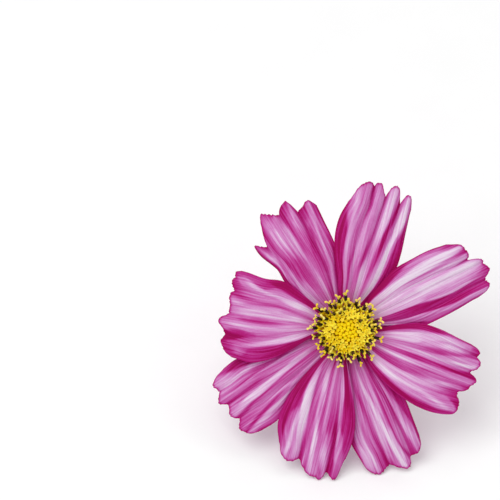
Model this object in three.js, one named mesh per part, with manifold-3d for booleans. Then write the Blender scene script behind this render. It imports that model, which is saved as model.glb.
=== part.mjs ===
// A picked cosmos flower: eight pleated ray petals round a disc of small florets, a whorl of inner bracts and
// a whorl of narrow outer bracts behind them, and a short length of stem with a cut end.
//
// Units are millimetres, +Z is up, and the surface that the flower lies on is z = 0. The flower is built in its
// own head frame first: +Z along the flower's axis towards whoever looks into it, +Y towards the top of the
// face, and z = 0 where the petals leave the receptacle. HEAD then lays it down, so that it leans on the tips
// of two lower petals and on the cut end of its stem.

import * as THREE from 'three';
import { mergeVertices } from 'three/addons/utils/BufferGeometryUtils.js';
import Module from 'manifold-3d';

const wasm = await Module();
wasm.setup();

// ---------------------------------------------------------------- driving dimensions

// How the head lies: its tilt from facing straight up, its roll about its own axis, and where its centre is.
const HEAD = { tilt: 45.2, roll: 2.5, at: [-1.475, -10.432, 28.145] };

const BLADE = 0.7; // thickness of a petal or bract, measured along the flower's axis
const GAP = 0.3; // clearance between pieces that touch

const PETAL = {
  root: 5.7, // distance of a petal's root from the axis
  step: 1.5, // an overlapping petal lies this much in front of its neighbour
  arch: 7, // how far a petal has bent back, one archSpan out from its root
  archSpan: 30,
  twistOver: 3, // its two margins reach their levels this far out from its root
  pressed: [0.1, 0.55], // a margin that lies under another petal is flat this far in, as a share of v
  release: 7, // and is pleated again this far beyond the overlap
  ridgeStart: [0, 7], // the ridges rise over these two stretches, measured from the root
  ridgeEnd: [5, 26],
  ridgeShare: 0.45, // the share of their height that they gain over the second one
  notchDepth: 2, // a notch this deep lets its valley sink all the way
  shallowest: 0.35, // share of that depth that the slightest notch has
  rowsAlong: 10,
  columnsPerFlank: 2,
};

// Half widths of the petals are given at these distances from the axis.
const STATIONS = [5.7, 9, 13, 18, 23, 28, 33];

// The petals in order, clockwise from the top as seen from the front. For each one: toward is the direction
// of its midline in degrees, rise the slope at its root in degrees, and pleat the height of its ridges.
// tuckLeft and tuckRight say how far out that margin lies under the next petal, 0 where it lies on top.
// left and right are half widths at the stations. ends is the outline of its end as [offset to the left,
// distance from the axis], from the left corner over lobe, notch, lobe and so on to the right corner.
const PETALS = [
  {
    name: 'petal_1', toward: 74, rise: 11, pleat: 1.2, tuckLeft: 0, tuckRight: 23,
    left: [2.5, 4.9, 6.2, 8.6, 9.9, 9.8, 8.4],
    right: [1.1, 3.6, 6.2, 8.0, 8.3, 7.9, 7.6],
    ends: [[8.4, 33], [5.1, 38.5], [3, 37], [1.6, 39], [-0.4, 36], [-2.2, 39.6], [-4.6, 34.8],
      [-6.1, 38.2], [-7.6, 35.5]],
  },
  {
    name: 'petal_2', toward: 26, rise: 12, pleat: 0.9, tuckLeft: 0, tuckRight: 23,
    left: [2.4, 5.0, 6.7, 8.7, 9.1, 9.2, 8.6],
    right: [1.4, 3.9, 6.2, 7.8, 8.0, 7.8, 7.4],
    ends: [[8.6, 33], [5, 37.5], [2.5, 36.3], [1.3, 39.3], [0.3, 39], [-2, 40.6], [-4.4, 38.2],
      [-5.9, 39], [-7.1, 36]],
  },
  {
    name: 'petal_3', toward: -21, rise: 13, pleat: 0.8, tuckLeft: 0, tuckRight: 0,
    left: [1.3, 4.1, 6.6, 8.6, 8.9, 8.4, 8.0],
    right: [2.6, 5.9, 8.1, 10.1, 11.6, 11.9, 11.0],
    ends: [[8.1, 31.8], [6.9, 34.5], [5.7, 34], [4, 36], [1.2, 34.1], [-0.3, 36.3], [-4.9, 32.7],
      [-8.2, 34.7], [-11.3, 31.5]],
  },
  {
    name: 'petal_4', toward: -68, rise: 10.5, pleat: 0.9, tuckLeft: 24, tuckRight: 28,
    left: [1.6, 3.8, 5.2, 6.9, 7.6, 7.5, 7.4],
    right: [1.8, 4.0, 5.6, 7.4, 8.9, 9.8, 9.1],
    ends: [[7.2, 33.8], [5, 36.8], [3.4, 36.2], [1.3, 39.6], [-2.6, 36.7], [-5.8, 38.2], [-9, 33.2]],
  },
  {
    name: 'petal_5', toward: -104, rise: 12, pleat: 0.8, tuckLeft: 0, tuckRight: 0,
    left: [1.3, 2.9, 4.6, 6.5, 8.1, 8.5, 7.8],
    right: [2.5, 4.9, 7.6, 10.2, 11.6, 11.6, 9.6],
    ends: [[7.5, 35], [6.1, 38.5], [4, 37.2], [2.3, 39.5], [-3.8, 35.3], [-5.8, 36.7], [-10.6, 31]],
  },
  {
    name: 'petal_6', toward: -146, rise: 10.5, pleat: 0.7, tuckLeft: 28, tuckRight: 27,
    left: [1.8, 3.6, 5.0, 6.4, 8.0, 9.5, 9.4],
    right: [1.6, 3.8, 5.2, 6.4, 8.0, 9.7, 9.3],
    ends: [[9.2, 33.6], [6.3, 36.8], [3.6, 35.5], [1.6, 37.2], [-0.8, 36.1], [-2.7, 37.6], [-5.1, 36],
      [-7, 36.9], [-9.1, 33.5]],
  },
  {
    name: 'petal_7', toward: 171, rise: 12, pleat: 0.7, tuckLeft: 0, tuckRight: 0,
    left: [1.5, 4.0, 7.4, 10.6, 12.2, 11.6, 11.0],
    right: [2.5, 5.6, 7.9, 10.2, 10.0, 10.8, 11.0],
    ends: [[11.5, 28.4], [7.9, 31.5], [6.2, 30.7], [2.5, 33], [0.2, 30.8], [-3.4, 31.3], [-5.7, 30.1],
      [-8.2, 31], [-11, 29.2]],
  },
  {
    name: 'petal_8', toward: 121, rise: 10, pleat: 1.2, tuckLeft: 22, tuckRight: 26,
    left: [1.5, 3.9, 5.6, 7.2, 7.3, 9.0, 9.4],
    right: [1.7, 4.0, 6.4, 8.6, 9.4, 9.8, 10.2],
    ends: [[9.6, 28.8], [8.9, 30.8], [6.5, 28.8], [3.1, 37.3], [-0.3, 34], [-3.3, 36.5], [-5, 31.3],
      [-8.6, 34.1], [-10.4, 31.2]],
  },
];

const DISC = {
  wall: 5.3, // radius of the receptacle under the florets
  belly: -2, // height where its wall starts to round in
  floor: -6.1, // height of its underside
  brim: 1, // height where the dome meets the wall
  crown: 3.2, // height of the middle of the dome
  sides: 20,
  florets: 82,
  spacing: 0.57, // floret n stands spacing * sqrt(n) from the axis
  buds: 22, // the innermost florets are still closed
  stars: 55, // florets up to this number have open lobes, and the rest anthers and forked styles too
};

// Heights are measured along a floret from the dome, and foot, tip and mouth are radii.
const BUD = { root: -0.3, top: 1.3, foot: 0.42, tip: 0.28, sides: 5 };
const STAR = { root: -0.4, top: 1.7, foot: 0.26, mouth: 0.53, hollow: 0.5, sides: 5 };
const ANTHERS = { root: 0.8, top: 3.6, uneven: 0.5, foot: 0.3, tip: 0.36, sides: 4 };
const FORK = {
  half: [[0.17, 0], [0.2, 0.75], [0.95, 1.1], [0.8, 1.5]], // one half of its outline, up from the foot
  cleft: 1.15, // height of the notch between its arms
  thick: 0.36,
  sunk: 0.25,
  turn: 2,
};
const FAN = { middle: 3, edge: 43, bow: 1.3, outermost: 19, uneven: 8 }; // how far the florets lean, in degrees

const CUP = {
  bracts: 8,
  reach: 11.8, // distance of the inner bracts' points from the axis
  notch: 7.6, // distance of the notches between them
  pointed: 1.3,
  flare: -1.8, // height where they leave the bowl
  tip: -1, // height of their points
  mouth: 78, // degrees round from the rim to the first ring of the bowl's sole
  around: 48,
  bowlRings: 4,
  flareRings: 3,
};

const RUFF = {
  bracts: 8,
  reach: 10.2,
  uneven: 0.6, // the outer bracts differ in reach by this much each way
  top: -7.5, // height of the hub's upper face
  hub: 2.5,
  hubSides: 16,
  width: 1.9,
  thick: 0.7,
  droop: 1.4, // how far the points hang below the hub
  lift: 0.4, // and how much they differ in that
  keel: 0.35, // height of the margins over the middle
  rows: 6,
};

const STEM = {
  radius: 1.05,
  collar: 2.1, // radius of its flared top
  collarLength: 3.2,
  top: -8.5,
  sides: 8,
  steps: 22,
  path: [[0, 0.1, -14], [0.4, 0.9, -24], [0.7, 3.6, -36], [0.1, 8.7, -46], [-1.1, 15, -53.5]],
};

// ---------------------------------------------------------------- shared helpers

const rad = THREE.MathUtils.degToRad;
const smooth = (x, from, to) => THREE.MathUtils.smoothstep(x, from, to);
const goldenAngle = Math.PI * (3 - Math.sqrt(5));

// Value at x of a smooth curve through (xs[i], ys[i]), held level past its ends.
function along(xs, ys, x) {
  if (x <= xs[0]) return ys[0];
  const last = xs.length - 1;
  if (x >= xs[last]) return ys[last];
  const i = xs.findIndex((s) => s > x) - 1;
  const slope = (k) => {
    const a = Math.max(0, k - 1);
    const b = Math.min(last, k + 1);
    return (ys[b] - ys[a]) / (xs[b] - xs[a]);
  };
  const span = xs[i + 1] - xs[i];
  const q = (x - xs[i]) / span;
  const h = q * q * (3 - 2 * q);
  return (
    ys[i] * (1 - h) + ys[i + 1] * h +
    span * q * (1 - q) * (slope(i) * (1 - q) - slope(i + 1) * q)
  );
}

// Closed sheet over a grid of points: at(i, j) gives its middle, and it is thick along Z.
function sheet(columns, rows, thick, at) {
  const grid = new THREE.PlaneGeometry(1, 1, columns, rows);
  const count = grid.attributes.position.count;
  const place = [];
  for (const side of [0.5, -0.5])
    for (let k = 0; k < count; k++) {
      const p = at(k % (columns + 1), Math.floor(k / (columns + 1)));
      place.push(p.x, p.y, p.z + side * thick);
    }
  const face = [...grid.index.array];
  for (let k = 0; k < grid.index.count; k += 3)
    face.push(face[k + 2] + count, face[k + 1] + count, face[k] + count);
  const rim = [];
  for (let i = 0; i < columns; i++) rim.push(i);
  for (let j = 0; j < rows; j++) rim.push(j * (columns + 1) + columns);
  for (let i = columns; i > 0; i--) rim.push(rows * (columns + 1) + i);
  for (let j = rows; j > 0; j--) rim.push(j * (columns + 1));
  rim.forEach((a, k) => {
    const b = rim[(k + 1) % rim.length];
    face.push(a, b, a + count, b, b + count, a + count);
  });
  return new THREE.BufferGeometry()
    .setAttribute('position', new THREE.Float32BufferAttribute(place, 3))
    .setIndex(face);
}

// A repeatable random number from -1 to 1, the draw-th one of item n.
function random(n, draw) {
  const x = Math.sin(n * 12.9898 + draw * 78.233) * 43758.5453;
  return 2 * (x - Math.floor(x)) - 1;
}

// A closed geometry as a manifold-3d solid.
function solid(geometry) {
  const bare = geometry.clone();
  bare.deleteAttribute('normal');
  bare.deleteAttribute('uv');
  const merged = mergeVertices(bare, 1e-4);
  return new wasm.Manifold(new wasm.Mesh({
    numProp: 3,
    vertProperties: new Float32Array(merged.attributes.position.array),
    triVerts: new Uint32Array(merged.index.array),
  }));
}

// Geometries fused into one.
function fused(geometries) {
  const joined = wasm.Manifold.union(geometries.map(solid)).getMesh();
  return new THREE.BufferGeometry()
    .setAttribute('position', new THREE.Float32BufferAttribute(joined.vertProperties, 3))
    .setIndex(new THREE.BufferAttribute(joined.triVerts, 1));
}

const finish = (color, roughness) => new THREE.MeshStandardMaterial({ color, roughness, metalness: 0 });

function piece(name, geometry, material) {
  const mesh = new THREE.Mesh(geometry, material);
  mesh.name = name;
  return mesh;
}

// ---------------------------------------------------------------- petals

// The lobes of a petal's end, from left to right, as v (1 at the left margin, -1 at the right one), how far
// out the end lies there, and the share of the pleat's height there: 1 on a lobe, 0 at a corner.
function endOf(petal) {
  const halfWidth = (x, r) => along(STATIONS, x >= 0 ? petal.left : petal.right, r);
  return petal.ends.map(([x, r], k, all) => {
    const corner = k === 0 || k === all.length - 1;
    const lobe = k % 2 === 1;
    const cut = corner || lobe ? 0 : (all[k - 1][1] + all[k + 1][1]) / 2 - r;
    return {
      v: corner ? Math.sign(x) : x / halfWidth(x, r),
      r,
      height: corner ? 0 : lobe ? 1 : 1 - THREE.MathUtils.clamp(cut / PETAL.notchDepth, PETAL.shallowest, 1),
    };
  });
}

// How far out the end lies and how high the pleat stands at v, rounded over each lobe and sharp in a notch.
function endAt(end, v) {
  let k = 0;
  while (k < end.length - 2 && v < end[k + 1].v) k++;
  const lobe = k % 2 ? end[k] : end[k + 1];
  const foot = k % 2 ? end[k + 1] : end[k];
  const q = THREE.MathUtils.clamp((v - foot.v) / (lobe.v - foot.v), 0, 1);
  const corner = foot === end[0] || foot === end[end.length - 1];
  const round = corner ? Math.sqrt(1 - (1 - q) ** 2) : Math.sin((q * Math.PI) / 2) ** 0.8;
  return {
    r: foot.r + (lobe.r - foot.r) * round,
    height: foot.height + (1 - foot.height) * Math.sin((q * Math.PI) / 2),
  };
}

// The height of a petal at a distance r from the axis and at v across it.
function petalHeight(petal, r, v, height) {
  const out = r - PETAL.root;
  const bend = Math.tan(rad(petal.rise)) * out - PETAL.arch * (out / PETAL.archSpan) ** 2;
  const [left, right] = [petal.tuckLeft, petal.tuckRight].map((tuck) => (tuck ? -0.5 : 0.5) * PETAL.step);
  const twist = ((left - right) / 2) * v * smooth(out, 0, PETAL.twistOver);
  const tuck = v > 0 ? petal.tuckLeft : petal.tuckRight;
  const inward = 1 - smooth(1 - Math.abs(v), ...PETAL.pressed);
  const outward = 1 - smooth(r, tuck, tuck + PETAL.release);
  const pressed = tuck ? inward * outward : 0;
  const ridge = THREE.MathUtils.lerp(
    smooth(out, ...PETAL.ridgeStart),
    smooth(out, ...PETAL.ridgeEnd),
    PETAL.ridgeShare,
  );
  return bend + (left + right) / 2 + twist + petal.pleat * height * ridge * (1 - pressed);
}

function petalGeometry(petal) {
  const end = endOf(petal);
  const across = [end[0].v];
  for (let k = 1; k < end.length; k++)
    for (let i = 1; i <= PETAL.columnsPerFlank; i++)
      across.push(THREE.MathUtils.lerp(end[k - 1].v, end[k].v, i / PETAL.columnsPerFlank));
  const point = (i, j) => {
    const v = across[i];
    const { r: tip, height } = endAt(end, v);
    const u = 1 - j / PETAL.rowsAlong;
    const r = THREE.MathUtils.lerp(PETAL.root, tip, u ** 0.9);
    const x = v * along(STATIONS, v >= 0 ? petal.left : petal.right, r);
    return new THREE.Vector3(r, x, petalHeight(petal, r, v, height));
  };
  // The grid's columns run across and its rows run in from the end, so that its top faces the viewer.
  return sheet(across.length - 1, PETAL.rowsAlong, BLADE, point).rotateZ(rad(petal.toward));
}

// ---------------------------------------------------------------- disc of florets

// Height of the receptacle's dome at a distance r from the axis.
const dome = (r) => DISC.brim + (DISC.crown - DISC.brim) * Math.sqrt(Math.max(0, 1 - (r / DISC.wall) ** 2));

// The florets fan out: upright in the middle, and leaning far over at the edge.
function lean(n) {
  const opened = n < DISC.stars ? 0 : FAN.outermost + FAN.uneven * random(n, 1);
  return THREE.MathUtils.lerp(FAN.middle, FAN.edge, (n / DISC.florets) ** FAN.bow) + opened;
}

// Stands a part of a floret, made along +Z from its base at the origin, on the dome.
function stand(geometry, n) {
  const r = DISC.spacing * Math.sqrt(n + 0.5);
  return geometry
    .rotateY(rad(lean(n)))
    .translate(r, 0, dome(r))
    .rotateZ(n * goldenAngle);
}

// A column along +Z.
const column = ({ root, top, foot, tip, sides }) => new THREE.CylinderGeometry(tip, foot, top - root, sides)
  .rotateX(Math.PI / 2)
  .translate(0, 0, (root + top) / 2);

const bud = (n) => stand(column(BUD), n);

// A floret's tube, which opens into five points round a hollow mouth.
function star(n) {
  const tube = column({ ...STAR, tip: STAR.mouth }).toNonIndexed();
  const place = tube.attributes.position;
  for (let k = 0; k < place.count; k++) {
    const onAxis = Math.hypot(place.getX(k), place.getY(k)) < STAR.foot / 2;
    if (onAxis && place.getZ(k) > 0) place.setZ(k, STAR.top - STAR.hollow);
  }
  return stand(tube, n);
}

// How far the tube of anthers stands out of its floret.
const antherTop = (n) => ANTHERS.top + ANTHERS.uneven * random(n, 2);

const anthers = (n) => stand(column({ ...ANTHERS, top: antherTop(n) }), n);

// The forked tip of a style, a flat Y that stands out of the anthers.
function fork(n) {
  const mirrored = FORK.half.map(([x, y]) => [-x, y]).reverse();
  const outline = [...FORK.half, [0, FORK.cleft], ...mirrored];
  const shape = new THREE.Shape(outline.map(([x, y]) => new THREE.Vector2(x, y)));
  const plate = new THREE.ExtrudeGeometry(shape, { depth: FORK.thick, bevelEnabled: false })
    .translate(0, 0, -FORK.thick / 2)
    .rotateX(Math.PI / 2)
    .rotateZ(FORK.turn * random(n, 3))
    .translate(0, 0, antherTop(n) - FORK.sunk);
  return stand(plate, n);
}

function discGeometry() {
  const profile = [];
  for (let turn = 90; turn >= 0; turn -= 18) {
    const [x, z] = [Math.cos(rad(turn)), Math.sin(rad(turn))];
    profile.push([turn === 90 ? 0 : DISC.wall * x, DISC.belly + (DISC.floor - DISC.belly) * z]);
  }
  for (const share of [1, 0.87, 0.62, 0.32, 0]) profile.push([share * DISC.wall, dome(share * DISC.wall)]);
  const outline = profile.map(([r, z]) => new THREE.Vector2(r, z));
  const parts = [new THREE.LatheGeometry(outline, DISC.sides).rotateX(Math.PI / 2)];
  for (let n = 0; n < DISC.florets; n++) {
    parts.push(n < DISC.buds ? bud(n) : star(n));
    if (n >= DISC.stars) parts.push(anthers(n), fork(n));
  }
  return fused(parts);
}

// ---------------------------------------------------------------- bracts and stem

// The inner bracts: eight broad points joined into a cup, which holds the receptacle and flares behind the
// petals.
function cupGeometry() {
  const wide = CUP.around;
  const deep = CUP.bowlRings + CUP.flareRings;
  const wall = DISC.wall + GAP;
  const sole = DISC.floor - GAP;
  const inside = (i, j) => {
    if (j <= CUP.bowlRings) {
      const turn = rad(CUP.mouth * (1 - j / CUP.bowlRings));
      return [wall * Math.cos(turn), DISC.belly + (sole - DISC.belly) * Math.sin(turn)];
    }
    const point = Math.abs(Math.cos((i / wide) * Math.PI * CUP.bracts)) ** CUP.pointed;
    const reach = THREE.MathUtils.lerp(CUP.notch, CUP.reach, point);
    const r = THREE.MathUtils.lerp(wall, reach, (j - CUP.bowlRings) / CUP.flareRings);
    return [r, THREE.MathUtils.lerp(CUP.flare, CUP.tip, (r - wall) / (CUP.reach - wall))];
  };
  const outside = (i, j) => {
    const [r0, z0] = inside(i, Math.max(0, j - 1));
    const [r1, z1] = inside(i, Math.min(deep, j + 1));
    const [r, z] = inside(i, j);
    const slope = Math.atan2(z1 - z0, r1 - r0);
    return [r + BLADE * Math.sin(slope), z - BLADE * Math.cos(slope)];
  };
  const place = [];
  for (const shell of [inside, outside])
    for (let j = 0; j <= deep; j++)
      for (let i = 0; i < wide; i++) {
        const angle = (i / wide) * 2 * Math.PI;
        const [r, z] = shell(i, j);
        place.push(Math.cos(angle) * r, Math.sin(angle) * r, z);
      }
  place.push(0, 0, sole, 0, 0, sole - BLADE);
  const ring = wide * (deep + 1);
  const face = [];
  for (let i = 0; i < wide; i++) {
    const next = (i + 1) % wide;
    face.push(2 * ring, i, next, 2 * ring + 1, ring + next, ring + i);
    for (let j = 0; j < deep; j++) {
      const [a, b, c, d] = [j * wide + i, j * wide + next, (j + 1) * wide + next, (j + 1) * wide + i];
      face.push(a, d, b, b, d, c);
      face.push(ring + a, ring + b, ring + d, ring + b, ring + c, ring + d);
    }
    const [e, f] = [deep * wide + i, deep * wide + next];
    face.push(e, ring + e, f, f, ring + e, ring + f);
  }
  return new THREE.BufferGeometry()
    .setAttribute('position', new THREE.Float32BufferAttribute(place, 3))
    .setIndex(face);
}

// The outer bracts: narrow green points that spread from a small hub.
function ruffGeometry() {
  const middle = RUFF.top - RUFF.thick / 2;
  const hub = new THREE.CylinderGeometry(RUFF.hub, RUFF.hub, RUFF.thick, RUFF.hubSides)
    .rotateX(Math.PI / 2)
    .translate(0, 0, middle);
  const parts = [hub];
  for (let k = 0; k < RUFF.bracts; k++) {
    const reach = RUFF.reach + RUFF.uneven * random(k, 4);
    const lift = RUFF.lift * random(k, 5);
    const at = (i, j) => {
      const q = 1 - j / RUFF.rows;
      const taper = Math.max(0.12, Math.sin(Math.PI * (0.28 + 0.72 * q)) ** 0.7);
      const side = 1 - i;
      const keel = RUFF.keel * Math.abs(side) * smooth(q, 0.1, 0.5);
      const r = THREE.MathUtils.lerp(RUFF.hub / 2, reach, q);
      const z = middle + keel - RUFF.droop * q * q + lift * q;
      return new THREE.Vector3(r, side * taper * (RUFF.width / 2), z);
    };
    const turn = ((k + 0.5) / RUFF.bracts) * 2 * Math.PI;
    parts.push(sheet(2, RUFF.rows, RUFF.thick, at).rotateZ(turn));
  }
  return fused(parts);
}

function stemGeometry() {
  const inCollar = new THREE.Vector3(0, 0, STEM.top - STEM.collarLength / 4);
  const path = new THREE.CatmullRomCurve3([inCollar, ...STEM.path.map((p) => new THREE.Vector3(...p))]);
  const section = new THREE.Shape().absarc(0, 0, STEM.radius, 0, 2 * Math.PI);
  const tube = new THREE.ExtrudeGeometry(section, {
    steps: STEM.steps,
    curveSegments: STEM.sides / 2,
    extrudePath: path,
    bevelEnabled: false,
  });
  const collar = new THREE.CylinderGeometry(STEM.collar, STEM.radius, STEM.collarLength, 1.5 * STEM.sides)
    .rotateX(Math.PI / 2)
    .translate(0, 0, STEM.top - STEM.collarLength / 2);
  return fused([tube, collar]);
}

// ---------------------------------------------------------------- the flower

const petalFinish = finish('#c04a9c', 0.55);
const head = new THREE.Group();
for (const petal of PETALS) head.add(piece(petal.name, petalGeometry(petal), petalFinish));
head.add(piece('disc', discGeometry(), finish('#e8c81c', 0.6)));
head.add(piece('inner_bracts', cupGeometry(), finish('#8e8f4c', 0.55)));
head.add(piece('outer_bracts', ruffGeometry(), finish('#4d7a34', 0.55)));
head.add(piece('stem', stemGeometry(), finish('#5c8a3c', 0.5)));

head.rotation.set(rad(HEAD.tilt), 0, rad(HEAD.roll), 'XYZ');
head.position.set(...HEAD.at);

const flower = new THREE.Group();
flower.add(head);

export default flower;
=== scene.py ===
"""A picked cosmos flower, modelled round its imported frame: eight pleated and striped ray petals, a disc of
florets in all their stages, two whorls of bracts and a short ribbed stem. It lies on the tips of two petals
and on the cut end of its stem.

Sizes in the tables are millimetres, in the flower's own head frame: +Z along its axis towards whoever looks
into it, +Y towards the top of its face, and z = 0 where the petals leave the receptacle. MM turns them into
metres, and HEAD lays the flower down in the frame's own axes.
"""

import math

import bpy
import numpy as np
from bpy.props import FloatProperty, FloatVectorProperty, PointerProperty
from mathutils import Matrix, Vector


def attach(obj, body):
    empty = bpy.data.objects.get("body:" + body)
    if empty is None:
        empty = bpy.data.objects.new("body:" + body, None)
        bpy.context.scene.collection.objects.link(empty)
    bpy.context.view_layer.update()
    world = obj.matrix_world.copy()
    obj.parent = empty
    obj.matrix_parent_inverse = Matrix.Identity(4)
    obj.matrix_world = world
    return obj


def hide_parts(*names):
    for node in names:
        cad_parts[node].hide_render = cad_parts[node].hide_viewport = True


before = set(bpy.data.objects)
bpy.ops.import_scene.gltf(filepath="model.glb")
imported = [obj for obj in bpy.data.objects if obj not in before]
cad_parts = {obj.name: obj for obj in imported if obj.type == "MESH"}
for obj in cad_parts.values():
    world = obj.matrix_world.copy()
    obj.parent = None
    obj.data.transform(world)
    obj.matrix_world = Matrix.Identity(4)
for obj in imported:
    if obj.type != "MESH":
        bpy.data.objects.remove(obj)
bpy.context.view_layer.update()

bl_info = {
    "name": "Cosmos Flower",
    "version": (1, 0, 0),
    "blender": (4, 5, 0),
    "location": "3D View > Sidebar > Cosmos",
    "description": "Models a picked cosmos flower with pleated, striped petals round a disc of florets",
    "category": "Add Mesh",
}

BODY = "root"
MM = 0.001
MERGE_WITHIN = 1e-7  # points this close are one, in metres

# ---------------------------------------------------------------- how the flower lies

HEAD_TILT = 45.2  # degrees from facing straight up
HEAD_ROLL = 2.5  # degrees about its axis
HEAD_AT = (-1.475, -10.432, 28.145)  # the point on its axis between the roots of the petals
HEAD = (
    Matrix.Translation(Vector(HEAD_AT) * MM)
    @ Matrix.Rotation(math.radians(HEAD_TILT), 4, "X")
    @ Matrix.Rotation(math.radians(HEAD_ROLL), 4, "Z")
)

# ---------------------------------------------------------------- petal sizes

# A place on a petal is given as s, from 0 at its root to 1 at its end, and v, from 1 at its left margin to -1
# at its right.
PETAL_ROOT = 5.7  # distance of a petal's root from the axis
BLADE = 0.32  # thickness of a petal
OVERLAP_STEP = 1.5  # an overlapping petal lies this much in front of its neighbour
ARCH = 7  # how far a petal has bent back, one ARCH_SPAN out from its root
ARCH_SPAN = 30
TWIST_OVER = 3  # a petal's two margins reach their levels this far out from its root
PRESSED = (0.1, 0.55)  # a margin under another petal is flat this far in, as a share of v
RELEASE = 7  # and is pleated again this far beyond the overlap
RIDGE_START = (0, 7)  # the ridges rise over these two stretches, measured from the root
RIDGE_END = (5, 26)
RIDGE_SHARE = 0.45  # the share of their height that they gain over the second one
NOTCH_DEPTH = 2  # a notch this deep lets its valley sink all the way
SHALLOWEST = 0.35  # share of that depth that the slightest notch has
FRAY = 0.16  # how far a petal's end wanders from its outline
FRAY_KNOTS = 60  # places across it where the wandering turns
FRAY_FADE = 0.125  # share of v over which it fades out at a corner
PETAL_GRID = (200, 120)  # faces across a petal and along it
ROW_CROWDING = 0.9  # below 1, those rows are closer together at the end

# ---------------------------------------------------------------- petal shapes and paint

# Half widths of the petals are given at these distances from the axis.
STATIONS = [5.7, 9, 13, 18, 23, 28, 33]

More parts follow.
